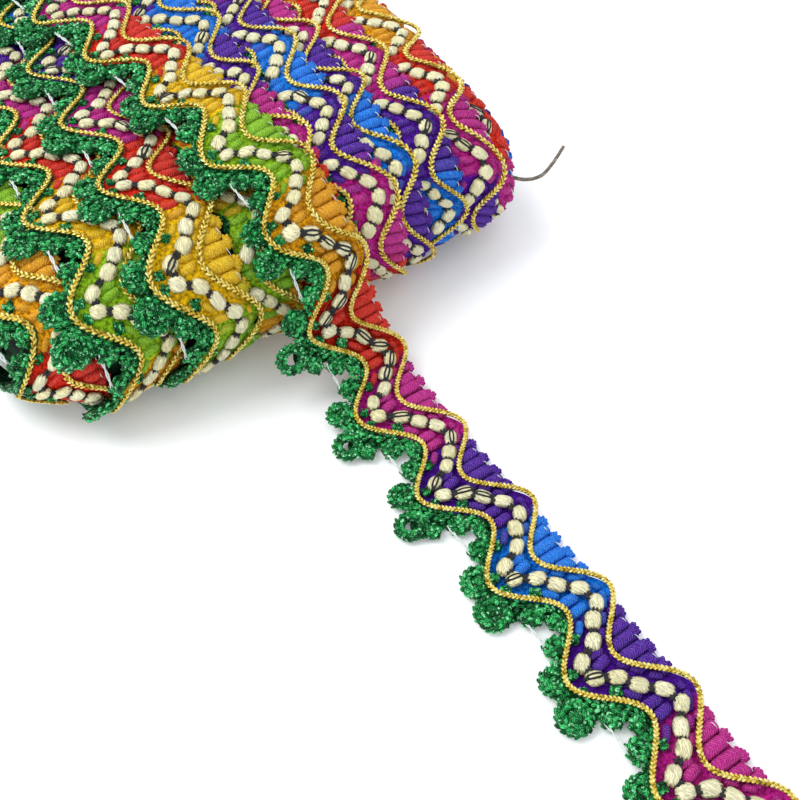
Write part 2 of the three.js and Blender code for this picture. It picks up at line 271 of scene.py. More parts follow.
class RollForm:
    """The mean surface of the wound roll, read by place along the axis and distance along a turn."""

    STEP = 1.0
    REACH_X = 69.0
    REACH_RUN = 214.0

    def __init__(self) -> None:
        """Samples the surface and its normals on an even grid."""
        self.xs = np.arange(-self.REACH_X, self.REACH_X + 0.1, self.STEP)
        self.runs = np.arange(-self.REACH_RUN, self.REACH_RUN + 0.1, self.STEP)
        self.halves = np.zeros((len(self.xs), 2))
        self.points = np.zeros((len(self.xs), len(self.runs), 3))
        for i, x in enumerate(self.xs):
            self.points[i] = self._ring(i, float(x))
        across = np.gradient(self.points, axis=0)
        along = np.gradient(self.points, axis=1)
        self.normals = unit(np.cross(along, across))

    @staticmethod
    def section(x: float) -> tuple[float, float, float, float]:
        """Top, bottom, front and back of the roll's section at x."""
        edge = max(0.0, (min(abs(x), ROLL_EDGE_X) - EDGE_FROM) / EDGE_WIDTH)
        top, front, back = (np.interp(x, ROLL_SECTIONS[:, 0], ROLL_SECTIONS[:, i]) for i in (1, 2, 3))
        return float(top), EDGE_LIFT * edge * edge, float(front), float(back)

    def _ring(self, column: int, x: float) -> np.ndarray:
        """Points round the roll at x, one for each sampled run."""
        top, bottom, front, back = self.section(x)
        middle, half = (top + bottom) / 2, (top - bottom) / 2
        power = 2 / END_POWER
        angle = np.linspace(0, math.pi, 90)
        reach = END_ROUND * np.abs(np.sin(angle)) ** power
        rise = half * np.sign(np.cos(angle)) * np.abs(np.cos(angle)) ** power
        ring = np.zeros((len(self.runs), 3))
        for side, (tip, sign) in enumerate(((front, -1.0), (back, 1.0))):
            flat = abs(tip) - END_ROUND
            y = np.concatenate([[0.0], flat + reach, [0.0]]) * sign
            z = np.concatenate([[top], middle + rise, [bottom]])
            length = np.concatenate([[0.0], np.cumsum(np.hypot(np.diff(y), np.diff(z)))])
            self.halves[column, side] = length[-1]
            mine = self.runs >= 0 if side == 0 else self.runs < 0
            run = np.abs(self.runs[mine])
            ring[mine, 1] = np.interp(run, length, y)
            ring[mine, 2] = np.interp(run, length, z)
            past = np.maximum(run - length[-1], 0.0)
            ring[mine, 1] -= sign * past
        ring[:, 0] = x
        return ring

    def read(self, x: np.ndarray, run: np.ndarray) -> tuple[np.ndarray, np.ndarray]:
        """Point on the surface and its outward normal."""
        column = np.clip((x + self.REACH_X) / self.STEP, 0, len(self.xs) - 1.001)
        row = np.clip((run + self.REACH_RUN) / self.STEP, 0, len(self.runs) - 1.001)
        i, j = column.astype(int), row.astype(int)
        a, b = (column - i)[:, None], (row - j)[:, None]

        def blend(grid: np.ndarray) -> np.ndarray:
            """Reads the grid between its four nearest samples."""
            low = grid[i, j] * (1 - b) + grid[i, j + 1] * b
            high = grid[i + 1, j] * (1 - b) + grid[i + 1, j + 1] * b
            return low * (1 - a) + high * a

        return blend(self.points), unit(blend(self.normals))

    def half_lengths(self, x: float) -> tuple[float, float]:
        """How far a turn runs over the front and over the back before it meets itself underneath."""
        return tuple(float(np.interp(x, self.xs, self.halves[:, i])) for i in (0, 1))


class Course:
    """Where a stretch of flat trim lies. Subclasses give the place of each flat point."""

    def place(self, flat: np.ndarray) -> np.ndarray:
        """Points of the flat trim, (n, 3) in s, t and h, laid in the roll's coordinates."""
        raise NotImplementedError


@dataclass(frozen=True)
class Wander:
    """How a hand-wound stretch strays from the even pattern.

    Each mark gives a place along the stretch, the place in the even pattern that falls there, and how far
    the trim lies aside.
    """

    marks: tuple[tuple[float, float, float], ...] = ((0.0, 0.0, 0.0), (1.0, 1.0, 0.0))

    def along(self, s: np.ndarray) -> np.ndarray:
        """Place along the stretch of each place in the even pattern."""
        marks = np.array(self.marks)
        inside = np.clip(s, marks[0, 1], marks[-1, 1])
        return np.interp(inside, marks[:, 1], marks[:, 0]) + s - inside

    def pattern(self, along: float) -> float:
        """Place in the even pattern at a place along the stretch."""
        marks = np.array(self.marks)
        inside = float(np.clip(along, marks[0, 0], marks[-1, 0]))
        return float(np.interp(inside, marks[:, 0], marks[:, 1])) + along - inside

    def aside(self, s: np.ndarray) -> np.ndarray:
        """How far the trim lies aside at each place in the even pattern."""
        marks = np.array(self.marks)
        return np.interp(s, marks[:, 1], marks[:, 2])


@dataclass
class TurnCourse(Course):
    """A turn of trim round the roll."""

    form: RollForm
    x: float
    start: float
    level: float
    tilt: float
    seed: int = 0
    follows_line: bool = False
    wander: Wander = Wander()
    front_tilt: Optional[float] = None
    front_level: Optional[float] = None
    flattened: tuple[float, float] = (1.0, 9.0)
    eased_over: tuple[float, float] = (16.0, 28.0)
    underside: float = -3.1
    underside_share: float = 0.75
    least_height: float = 0.05

    def place(self, flat: np.ndarray) -> np.ndarray:
        """Lays flat points round the roll, pressed level where the roll rests."""
        s, t, h = flat.T
        run = self.wander.along(s) + self.start
        t = t + self.wander.aside(s)
        x = self.x + t + 0.25 * wobble(s, self.seed)
        if self.follows_line:
            guide, _ = self.form.read(np.zeros_like(run), run)
            y, z = guide[:, 1], guide[:, 2]
            centre = np.interp(y, LAST_TURN_LINE[:, 0], LAST_TURN_LINE[:, 1])
            ahead = np.interp(y - 4.0, LAST_TURN_LINE[:, 0], LAST_TURN_LINE[:, 1])
            behind = np.interp(y + 4.0, LAST_TURN_LINE[:, 0], LAST_TURN_LINE[:, 1])
            lean = np.arctan2(ahead - behind, 8.0) * smoothstep(z, 4.0, 20.0)
            x = centre + t * np.cos(lean)
            run = run - t * np.sin(lean)
        point, normal = self.form.read(x, run)
        point[:, 0] += x - np.clip(x, -self.form.REACH_X, self.form.REACH_X)
        free = smoothstep(point[:, 2], *self.flattened)
        tilt, level, over = self.tilt, self.level, smoothstep(s, *self.eased_over)
        if self.front_tilt is not None:
            tilt = tilt + (self.front_tilt - tilt) * over
        if self.front_level is not None:
            level = level + (self.front_level - level) * over
        lift = level + tilt * t + h + 0.25 * wobble(s, self.seed + 5, 61.0)
        pressed = self.underside + min(self.level, 0.0) + self.underside_share * h
        laid = point + normal * (free * lift + (1 - free) * pressed)[:, None]
        laid[:, 2] = np.maximum(laid[:, 2], self.least_height)
        return laid


@dataclass
class LooseCourse(Course):
    """The loose end, from the front of the roll down to the surface and along it."""

    route: Route
    wander: Wander = Wander()

    def place(self, flat: np.ndarray) -> np.ndarray:
        """Lays flat points along the loose end."""
        s, t, h = flat.T
        point, tangent = self.route.read(self.wander.along(s))
        t = t + self.wander.aside(s)
        across = unit(np.cross(UP, tangent))
        up = np.cross(tangent, across)
        return point + across * t[:, None] + up * h[:, None]


@dataclass
class LastCourse(Course):
    """The last turn: round the roll, then over into the loose end."""

    turn: TurnCourse
    loose: LooseCourse
    leaves: tuple[float, float] = (-15.0, -4.0)

    def place(self, flat: np.ndarray) -> np.ndarray:
        """Lays flat points, easing from the roll to the loose end where it leaves."""
        share = smoothstep(self.loose.wander.along(flat[:, 0]), *self.leaves)[:, None]
        return self.turn.place(flat) * (1 - share) + self.loose.place(flat) * share


@dataclass
class SideCourse(Course):
    """The side of the roll, where the edges of its inner turns show one inside the other."""

    form: RollForm
    side: float
    x: float = 60.6

    def place(self, flat: np.ndarray) -> np.ndarray:
        """Lays flat points with s round the side, t in from its rim and h out along the axis."""
        s, t, h = flat.T
        point, normal = self.form.read(np.full_like(s, self.side * self.x), s)
        laid = point - unit(normal * (0.0, 1.0, 1.0)) * t[:, None]
        laid[:, 0] = self.side * (self.x + h)
        return laid


class Detail(Enum):
    """How finely a stretch is made."""

    FINE = "fine"
    WOUND = "wound"
    FAR = "far"


@dataclass
class Stretch:
    """A stretch of trim, laid along one course."""

    name: str
    course: Course
    first: float
    last: float
    dye: float
    seed: int
    detail: Detail = Detail.WOUND
    lowest: float = -99.0
    rests: tuple[float, float] = (-1e9, 1e9)
    open_loops: tuple[int, ...] = ()
    over_thread: tuple[float, float] = (1.0, -1.0)
    far_before: float = -1e9
    corded: bool = True

    def detail_at(self, k: int) -> Detail:
        """How finely one repeat is made."""
        return Detail.FAR if (k + 0.5) * REPEAT < self.far_before else self.detail

    def random(self, k: int, salt: int) -> Random:
        """A seeded source for one repeat of one piece."""
        return np.random.default_rng([self.seed + 100, k + 1000, salt])

    def keeps(self, s: np.ndarray, t: np.ndarray) -> np.ndarray:
        """Which places belong to the stretch."""
        return (s >= self.first) & (s < self.last) & (t >= self.lowest)

    def shown(self) -> tuple[float, float]:
        """Where the stretch starts and ends, without what lies under the roll."""
        return max(self.first, self.rests[0]), min(self.last, self.rests[1])

    def shows(self, s: Numbers) -> Union[bool, np.ndarray]:
        """Which places along the stretch show."""
        first, last = self.shown()
        return (s >= first) & (s < last)

    def repeats(self) -> range:
        """The repeats that show, and one more at each end."""
        first, last = self.shown()
        return range(math.floor(first / REPEAT) - 1, math.ceil(last / REPEAT) + 1)


@dataclass
class Shape:
    """A unit shape as arrays: its points and its faces."""

    points: np.ndarray
    corners: np.ndarray
    sizes: np.ndarray

    @classmethod
    def read(cls, bm: bmesh.types.BMesh) -> Shape:
        """Takes the arrays of a bmesh and frees it."""
        bm.verts.ensure_lookup_table()
        bm.verts.index_update()
        points = np.array([v.co[:] for v in bm.verts])
        corners = np.array([v.index for f in bm.faces for v in f.verts])
        sizes = np.array([len(f.verts) for f in bm.faces])
        bm.free()
        return cls(points, corners, sizes)


def bead(segments: int, rings: int) -> Shape:
    """A round bead whose poles lie along s.

    Args:
        segments: sides round it.
        rings: steps from pole to pole.

    Returns:
        The unit bead.
    """
    bm = bmesh.new()
    bmesh.ops.create_uvsphere(bm, u_segments=segments, v_segments=rings, radius=1.0)
    bmesh.ops.rotate(bm, verts=bm.verts, matrix=Matrix.Rotation(math.radians(90), 3, "Y"))
    return Shape.read(bm)


PUFF_POWER = 2.9


def puff(segments: int, rings: int, seed: int) -> Shape:
    """A gathered puff of ribbon: a flat pillow along s, drawn in and pleated at both ends.

    Args:
        segments: sides round it.
        rings: steps from end to end.
        seed: which of its uneven kinds.

    Returns:
        The unit puff.
    """
    shape = bead(segments, rings)
    x, y, z = shape.points.T
    around = np.arctan2(z, y)
    radius = np.maximum(np.hypot(y, z), 1e-6)
    full = np.sqrt(np.clip(1 - np.abs(x) ** PUFF_POWER, 0, None)) / radius
    full = np.where(np.abs(x) > 0.999, 0.0, full)
    end = smoothstep(np.abs(x), 0.45, 1.0)
    pleat = 1.0 + 0.15 * np.cos(5 * around + 1.3 * seed) * end
    pleat += 0.06 * np.cos(9 * around + 2.1 * seed + 2 * x)
    lean = 0.10 * math.sin(1.9 * seed) * x
    reach = x * (1.0 + 0.08 * np.cos(4 * around + seed) * smoothstep(np.abs(x), 0.6, 0.95))
    shape.points = np.stack([reach, (y * full + lean) * pleat, z * full * pleat], 1)
    return shape


def eye(steps: int) -> Shape:
    """A thread that splits round the crown of a puff and closes again, in the puff's own unit sizes."""
    shape = ring(steps, 4)
    turn, angle = shape.points[:, 0], shape.points[:, 1]
    out = 0.28 * np.cos(angle)
    x = (0.98 + out) * np.cos(turn)
    y = (0.30 + 0.5 * out) * np.sin(turn) + 0.12
    crown = np.sqrt(np.clip(1 - np.abs(np.clip(x, -1, 1)) ** PUFF_POWER, 0, None))
    crown *= np.sqrt(np.clip(1 - y**2, 0, None))
    shape.points = np.stack([x, y, crown + 0.06 + 0.16 * np.sin(angle)], 1)
    return shape


def rib(segments: int, rings: int) -> Shape:
    """A plump rib of chenille along s, full almost to its ends."""
    shape = bead(segments, rings)
    x, y, z = shape.points.T
    radius = np.maximum(np.hypot(y, z), 1e-6)
    full = np.where(np.abs(x) > 0.999, 0.0, np.sqrt(np.clip(1 - np.abs(x) ** 5, 0, None)) / radius)
    boxy = 1.0 + 0.10 * np.cos(4 * np.arctan2(z, y) + math.pi)
    shape.points = np.stack([x, y * full * boxy, z * full * boxy], 1)
    return shape


def tube(steps: int, sides: int) -> Shape:
    """A closed strand: its points hold length from 0 to 1 and angle round it."""
    bm = bmesh.new()
    bmesh.ops.create_cone(bm, cap_ends=True, segments=sides, radius1=1.0, radius2=1.0, depth=1.0)
    rails = [e for e in bm.edges if abs(e.verts[0].co.z - e.verts[1].co.z) > 0.5]
    if steps > 1:
        bmesh.ops.subdivide_edges(bm, edges=rails, cuts=steps - 1, use_grid_fill=True)
    shape = Shape.read(bm)
    x, y, z = shape.points.T
    shape.points = upright(z + 0.5, np.arctan2(y, x))
    return shape


def ring(steps: int, sides: int) -> Shape:
    """A closed hoop: its points hold the angle along it and the angle round it."""
    bm = bmesh.new()
    made = bmesh.ops.create_circle(bm, cap_ends=False, segments=sides, radius=0.4)
    turn = Matrix.Rotation(math.radians(90), 4, "X")
    bmesh.ops.transform(bm, matrix=Matrix.Translation((1.0, 0.0, 0.0)) @ turn, verts=made["verts"])
    bmesh.ops.spin(
        bm, geom=bm.edges[:], cent=(0, 0, 0), axis=(0, 0, 1), angle=2 * math.pi, steps=steps, use_merge=True
    )
    bmesh.ops.recalc_face_normals(bm, faces=bm.faces)
    shape = Shape.read(bm)
    x, y, z = shape.points.T
    shape.points = upright(np.arctan2(y, x), np.arctan2(z, np.hypot(x, y) - 1.0))
    return shape


def band(steps_along: int, steps_across: int) -> Shape:
    """A strip with its length along x from 0 to 1 and its width along y from 0 to 1."""
    bm = bmesh.new()
    bmesh.ops.create_grid(bm, x_segments=steps_along, y_segments=steps_across, size=0.5)
    bmesh.ops.translate(bm, verts=bm.verts, vec=Vector((0.5, 0.5, 0.0)))
    return Shape.read(bm)


def placed(name: str, mesh: bpy.types.Mesh, material: bpy.types.Material) -> bpy.types.Object:
    """Gives a mesh its finish and smooth faces, and links it as an object at the origin."""
    mesh.polygons.foreach_set("use_smooth", np.ones(len(mesh.polygons), bool))
    mesh.materials.append(material)
    made = bpy.data.objects.new(name, mesh)
    bpy.context.scene.collection.objects.link(made)
    return made


def settled(name: str, bm: bmesh.types.BMesh, material: bpy.types.Material) -> bpy.types.Object:
    """Turns a bmesh into a linked object and frees it."""
    mesh = bpy.data.meshes.new(name)
    bm.to_mesh(mesh)
    bm.free()
    return placed(name, mesh, material)


class Joined:
    """One piece made of many laid shapes, joined from arrays."""

    def __init__(self) -> None:
        """Starts an empty piece."""
        self.points: list[np.ndarray] = []
        self.corners: list[np.ndarray] = []
        self.sizes: list[np.ndarray] = []
        self.forms: list[np.ndarray] = []
        self.trims: list[np.ndarray] = []
        self.count = 0

    def add(
        self, points: np.ndarray, shape: Shape, form: np.ndarray, trim: np.ndarray, copies: int = 1
    ) -> None:
        """Adds copies of a shape whose points are already laid.

        Args:
            points: the laid points, copy after copy.
            shape: the unit shape, for its faces.
            form: place of each point in its own shape, in millimetres.
            trim: dye place, t and tone of each point.
            copies: how many copies the points hold.
        """
        each = len(shape.points)
        offsets = self.count + each * np.arange(copies)
        self.corners.append((shape.corners[None, :] + offsets[:, None]).ravel())
        self.sizes.append(np.tile(shape.sizes, copies))
        self.points.append(points)
        self.forms.append(form)
        self.trims.append(trim)
        self.count += len(points)

    def stamp(
        self,
        stretch: Stretch,
        shape: Shape,
        centres: np.ndarray,
        angles: np.ndarray,
        halves: np.ndarray,
        tones: np.ndarray,
        lag: float = 0.0,
    ) -> None:
        """Lays one copy of a shape at each centre, along the stretch.

        Args:
            stretch: the stretch whose course lays them.
            shape: the unit shape.
            centres: flat places, (n, 3).
            angles: turn of each copy in the plane of the trim, in radians.
            halves: half sizes of each copy along its own axes, (n, 3).
            tones: a number from 0 to 1 for each copy, for its shade.
            lag: how far the copies' colour lags along the trim.
        """
        keep = stretch.keeps(centres[:, 0], centres[:, 1])
        if not keep.any():
            return
        centres, angles, halves, tones = centres[keep], angles[keep], halves[keep], tones[keep]
        form = shape.points[None, :, :] * halves[:, None, :]
        c, d = np.cos(angles)[:, None], np.sin(angles)[:, None]
        ahead, aside = form[..., 0] * c - form[..., 1] * d, form[..., 0] * d + form[..., 1] * c
        flat = np.stack([ahead, aside, form[..., 2]], 2)
        flat = (flat + centres[:, None, :]).reshape(-1, 3)
        copies, each = len(centres), len(shape.points)
        dye = np.repeat(centres[:, 0] + stretch.dye - lag, each)
        trim = np.stack([dye, flat[:, 1], np.repeat(tones, each)], 1)
        self.add(stretch.course.place(flat), shape, form.reshape(-1, 3), trim, copies)

    def sweep(
        self,
        stretch: Stretch,
        line: Callable[[np.ndarray], np.ndarray],
        first: float,
        last: float,
        step: float,
        radius: float,
        sides: int,
    ) -> None:
        """Lays a round strand along a flat line of the stretch.

        Args:
            stretch: the stretch whose course lays it.
            line: gives (n, 3) flat points for distances along s.
            first: where the strand starts.
            last: where it ends.
            step: distance between its sections.
            radius: its radius.
            sides: the sides of its section.
        """
        if last - first < step:
            return
        shape = tube(max(2, round((last - first) / step)), sides)
        u, angle = shape.points[:, 0], shape.points[:, 1]
        s = first + (last - first) * u
        ahead = unit(line(s + 0.05) - line(s - 0.05))
        side = unit(upright(-ahead[:, 1], ahead[:, 0]))
        up = np.cross(ahead, side)
        flat = line(s) + (side * np.cos(angle)[:, None] + up * np.sin(angle)[:, None]) * radius
        trim = upright(s + stretch.dye, flat[:, 1], 0.5)
        form = upright(s, angle * radius)
        self.add(stretch.course.place(flat), shape, form, trim)

    def hoop(
        self, stretch: Stretch, shape: Shape, centre: Sequence[float], rim: Sequence[float], radius: float
    ) -> None:
        """Lays a closed round hoop.

        Args:
            stretch: the stretch whose course lays it.
            shape: the unit hoop.
            centre: its flat middle, s, t and h.
            rim: the half width and half height of its centre line.
            radius: the radius of its tube.
        """
        turn, angle = shape.points[:, 0], shape.points[:, 1]
        out = radius * np.cos(angle)
        s, t = centre[0] + (rim[0] + out) * np.cos(turn), centre[1] + (rim[1] + out) * np.sin(turn)
        flat = upright(s, t, centre[2] + radius * np.sin(angle))
        # The core gets a low tone: painted shade where it shows between the stitches.
        trim = upright(s + stretch.dye, t, 0.1)
        form = upright(turn * (rim[0] + rim[1]) / 2, angle * radius)
        self.add(stretch.course.place(flat), shape, form, trim)

    def build(self, name: str, material: bpy.types.Material, shift: np.ndarray) -> bpy.types.Object:
        """Makes the piece's object.

        Args:
            name: the piece's name.
            material: its finish.
            shift: the roll's own origin in the frame, in millimetres.

        Returns:
            The linked object, with its place in its mesh.
        """
        mesh = bpy.data.meshes.new(name)
        points = (np.vstack(self.points) + shift) * MM
        corners, sizes = np.concatenate(self.corners), np.concatenate(self.sizes)
        mesh.vertices.add(len(points))
        mesh.vertices.foreach_set("co", points.astype(np.float32).ravel())
        mesh.loops.add(len(corners))
        mesh.loops.foreach_set("vertex_index", corners.astype(np.int32))
        mesh.polygons.add(len(sizes))
        starts = np.concatenate([[0], np.cumsum(sizes)[:-1]])
        mesh.polygons.foreach_set("loop_start", starts.astype(np.int32))
        mesh.polygons.foreach_set("loop_total", sizes.astype(np.int32))
        mesh.update(calc_edges=True)
        for label, rows in (("form", self.forms), ("trim", self.trims)):
            attribute = mesh.attributes.new(label, "FLOAT_VECTOR", "POINT")
            attribute.data.foreach_set("vector", np.vstack(rows).astype(np.float32).ravel())
        mesh.validate()
        return placed(name, mesh, material)


def linear(red: int, green: int, blue: int) -> Colour:
    """A colour of the screen as the shader wants it."""
    parts = [value / 255 for value in (red, green, blue)]
    r, g, b = ((c / 12.92) if c <= 0.04045 else ((c + 0.055) / 1.055) ** 2.4 for c in parts)
    return (r, g, b, 1.0)


class Signal:
    """A shader socket that takes part in Python expressions."""

    def __init__(self, graph: Graph, socket: bpy.types.NodeSocket) -> None:
        """Wraps a node's output."""
        self.graph = graph
        self.socket = socket

    def _math(self, operation: str, *values: Value) -> Signal:
        """Adds a Math node fed by the values."""
        return self.graph.node("ShaderNodeMath", {"operation": operation}, dict(enumerate(values)))

    def __add__(self, other: Value) -> Signal:
        """Sum."""
        return self._math("ADD", self, other)

    def __radd__(self, other: Value) -> Signal:
        """Sum, reflected."""
        return self._math("ADD", other, self)

    def __sub__(self, other: Value) -> Signal:
        """Difference."""
        return self._math("SUBTRACT", self, other)

    def __rsub__(self, other: Value) -> Signal:
        """Difference, reflected."""
        return self._math("SUBTRACT", other, self)

    def __mul__(self, other: Value) -> Signal:
        """Product."""
        return self._math("MULTIPLY", self, other)

    def __rmul__(self, other: Value) -> Signal:
        """Product, reflected."""
        return self._math("MULTIPLY", other, self)

    def __truediv__(self, other: Value) -> Signal:
        """Quotient."""
        return self._math("DIVIDE", self, other)

    def __rtruediv__(self, other: Value) -> Signal:
        """Quotient, reflected."""
        return self._math("DIVIDE", other, self)

    def __mod__(self, other: Value) -> Signal:
        """Remainder, never negative."""
        return self._math("FLOORED_MODULO", self, other)

    def __abs__(self) -> Signal:
        """Size without sign."""
        return self._math("ABSOLUTE", self)

    def sine(self) -> Signal:
        """Sine."""
        return self._math("SINE", self)

    def clamped(self) -> Signal:
        """Kept from 0 to 1."""
        return self.graph.node("ShaderNodeClamp", {}, {0: self})

    def eased(self, low: float, high: float) -> Signal:
        """Eased from 0 at low to 1 at high."""
        sockets = {"Value": self, "From Min": low, "From Max": high}
        return self.graph.node("ShaderNodeMapRange", {"interpolation_type": "SMOOTHSTEP"}, sockets)

    def part(self, axis: str) -> Signal:
        """One part of a vector: X, Y or Z."""
        split = self.graph.node("ShaderNodeSeparateXYZ", {}, {0: self})
        return Signal(self.graph, split.socket.node.outputs[axis])


Value = Union[Signal, float, Sequence[float]]


class Graph:
    """A material's node tree, with the shader that ends it."""

    def __init__(self, name: str) -> None:
        """Makes an empty material with its surface shader."""
        self.material = bpy.data.materials.new(name)
        self.material.use_nodes = True
        self.tree = self.material.node_tree
        self.shader = self.tree.nodes["Principled BSDF"]

    def node(
        self,
        kind: str,
        settings: dict[str, object],
        sockets: dict[Union[int, str], Value],
        out: Union[int, str] = 0,
    ) -> Signal:
        """Adds a node.

        Args:
            kind: the node's type.
            settings: its properties, set first; ramp holds a ColorRamp's stops.
            sockets: values or links of its inputs.
            out: which output to hand back.

        Returns:
            The output as a signal.
        """
        made = self.tree.nodes.new(kind)
        for key, value in settings.items():
            if key == "ramp":
                self._stops(made, value)
            else:
                setattr(made, key, value)
        for key, value in sockets.items():
            self._feed(made.inputs[key], value)
        return Signal(self, made.outputs[out])

    def _feed(self, socket: bpy.types.NodeSocket, value: Value) -> None:
        """Links a signal to a socket, or sets its value."""
        if isinstance(value, Signal):
            self.tree.links.new(value.socket, socket)
        else:
            socket.default_value = value

    @staticmethod
    def _stops(made: bpy.types.Node, stops: Sequence[tuple[float, Sequence[float]]]) -> None:
        """Sets a ramp's stops."""
        elements = made.color_ramp.elements
        while len(elements) < len(stops):
            elements.new(1.0)
        for element, (place, colour) in zip(elements, stops):
            element.position = place
            element.color = colour

    def ramp(self, at: Signal, stops: Sequence[tuple[float, Colour]]) -> Signal:
        """The colour of a ramp at a place from 0 to 1."""
        return self.node("ShaderNodeValToRGB", {"ramp": stops}, {0: at})

    def attribute(self, name: str) -> Signal:
        """One of the piece's own vectors."""
        return self.node("ShaderNodeAttribute", {"attribute_name": name}, {}, "Vector")

    def place(self) -> Signal:
        """Place in the piece's own coordinates, in metres."""
        return self.node("ShaderNodeTexCoord", {}, {}, "Object")

    def vector(self, operation: str, first: Value, second: Value) -> Signal:
        """Vector Math on two vectors."""
        return self.node("ShaderNodeVectorMath", {"operation": operation}, {0: first, 1: second})

    def noise(
        self, at: Signal, scale: float, detail: float = 2.0, stretch: Sequence[float] = (1, 1, 1)
    ) -> Signal:
        """Noise from 0 to 1 at a place, with its scale along each axis."""
        moved = self.vector("MULTIPLY", at, stretch)
        return self.node("ShaderNodeTexNoise", {}, {"Vector": moved, "Scale": scale, "Detail": detail})

    def cells(self, at: Signal, scale: float) -> Signal:
        """A random grey for each small cell."""
        colour = self.node("ShaderNodeTexVoronoi", {}, {"Vector": at, "Scale": scale}, "Color")
        return colour.part("X")

    def mix(self, share: Value, low: Value, high: Value, blend: str = "MIX") -> Signal:
        """Blends two colours."""
        settings = {"data_type": "RGBA", "blend_type": blend}
        return self.node("ShaderNodeMix", settings, {0: share, 6: low, 7: high}, 2)

    def bump(self, height: Signal, depth: float) -> Signal:
        """Relief from a height, with its depth in metres."""
        return self.node("ShaderNodeBump", {}, {"Height": height, "Distance": depth}, "Normal")

    def finish(self, **inputs: Value) -> bpy.types.Material:
        """Sets the shader's sockets, words in a name parted by an underscore."""
        for key, value in inputs.items():
            self._feed(self.shader.inputs[key.replace("_", " ")], value)
        return self.material


@dataclass(frozen=True)
class DyeCycle:
    """The colours that the chenille is dyed in, one stretch after another."""

    length: float = 220.0
    soft: float = 0.7
    red: tuple[int, int, int] = (236, 46, 18)
    magenta: tuple[int, int, int] = (208, 34, 150)
    purple: tuple[int, int, int] = (88, 22, 168)
    blue: tuple[int, int, int] = (14, 134, 244)
    yellow: tuple[int, int, int] = (254, 208, 12)
    orange: tuple[int, int, int] = (252, 180, 14)
    lime: tuple[int, int, int] = (150, 208, 30)

    def stops(self) -> list[tuple[float, Colour]]:
        """Ramp stops over one cycle."""
        order = (
            (1.6, self.orange), (21.7, self.red), (43.2, self.magenta), (65.4, self.purple),
            (87.4, self.blue), (109.4, self.purple), (131.6, self.magenta), (154.0, self.red),
            (176.0, self.yellow), (198.4, self.lime), (220.0, self.orange),
        )
        stops, place = [], 0.0
        for end, colour in order:
            stops.append(((place + self.soft) / self.length, linear(*colour)))
            stops.append(((end - self.soft) / self.length, linear(*colour)))
            place = end
        return stops

    def read(self, graph: Graph, dye: Signal) -> Signal:
        """The colour at each dye place."""
        share = (dye % self.length) / self.length
        return graph.ramp(share, self.stops())


@dataclass(frozen=True)
class ChenilleFinish:
    """Matt dyed chenille: fine chevrons along each rib, loose fibres, painted shade between ribs and
    painted highlights.
    """

    pitch: float = 0.46
    slant: float = 0.6
    relief: float = 0.00055
    rough: float = 0.85

    def make(self) -> bpy.types.Material:
        """Builds the material."""
        graph = Graph("dyed_chenille")
        form, trim = graph.attribute("form"), graph.attribute("trim")
        colour = DyeCycle().read(graph, trim.part("X"))
        moved = graph.vector("ADD", form, trim)
        fuzz = graph.noise(moved, 1.7, 3.0)
        fine = graph.noise(moved, 5.5, 2.0)
        chevron = form.part("X") + abs(form.part("Y")) * self.slant
        ridge = (chevron * (2 * math.pi / self.pitch) + fuzz * 11.0).sine() * 0.5 + 0.5
        # Painted highlight: light pales the dye towards white on the chevron ridges and in fine noise; dark
        # is the painted shade colour.
        light = (ridge * 0.55 + fine * 0.9 - 0.55).clamped()
        bright = graph.mix(light * 0.7, colour, graph.mix(0.26, colour, (1, 1, 1, 1)))
        dark = graph.mix(1.0, graph.mix(1.0, colour, colour, "MULTIPLY"), (0.50, 0.46, 0.58, 1), "MULTIPLY")
        # Painted shade: darker in the folds at the sides of each rib and in the chevron grooves, mixed with
        # random tone from the noise and each copy's tone.
        fold_shade = abs(form.part("Y")).eased(0.85, 1.35) * 0.5
        shade = fold_shade + (1 - ridge) * 0.26 + (0.5 - fine) * 0.9
        shade = shade + (0.5 - fuzz) * 1.1 + (trim.part("Z") - 0.5) * 0.15
        return graph.finish(
            Base_Color=graph.mix(shade.clamped(), bright, dark),
            Roughness=self.rough,
            Specular_IOR_Level=0.12,
            Normal=graph.bump(ridge * 0.35 + fuzz * 0.8 + fine * 0.5, self.relief),
        )


@dataclass(frozen=True)
class MetallicYarnFinish:
    """Green crochet yarn with a flat metallic filament, its colour holding painted glints and specks of
    painted shade.
    """

    glint_size: float = 0.00036
    strand: float = 0.34

    def make(self) -> bpy.types.Material:
        """Builds the material."""
        graph = Graph("green_metallic_yarn")
        form, trim, place = graph.attribute("form"), graph.attribute("trim"), graph.place()
        cells = graph.cells(place, 1 / self.glint_size)
        noise = graph.noise(place, 800.0, 2.0)
        turn = form.part("Y") * (2 * math.pi / self.strand) + form.part("X") * 2.6
        strand = (turn + noise * 2.5).sine() * 0.5 + 0.5
        # Tone runs the yarn from dark to bright green by strands, noise and each copy's tone; the low tone
        # of the cores is painted shade between the stitches.
        tone = (strand * 0.5 + noise.eased(0.3, 0.7) * 0.4 + (trim.part("Z") - 0.5) * 0.7 + 0.02).clamped()
        stops = [(0.0, linear(1, 36, 14)), (0.45, linear(14, 138, 62)), (1.0, linear(84, 226, 130))]
        body = graph.ramp(tone, stops)
        # Painted glints: pale green specks in random cells. The dark specks in other cells are painted
        # shade for the gaps between filaments.
        painted_glint = cells.eased(0.86, 0.94)
        dark = (1 - cells).eased(0.74, 0.88)
        colour = graph.mix(painted_glint * 0.8, body, linear(160, 246, 184))
        colour = graph.mix(dark * 0.7, colour, linear(2, 40, 16))
        return graph.finish(
            Base_Color=colour,
            Metallic=0.3,
            Specular_IOR_Level=0.3,
            Roughness=0.40 - painted_glint * 0.2,
            Normal=graph.bump(strand * 0.6 + cells * 0.6, 0.0002),
        )


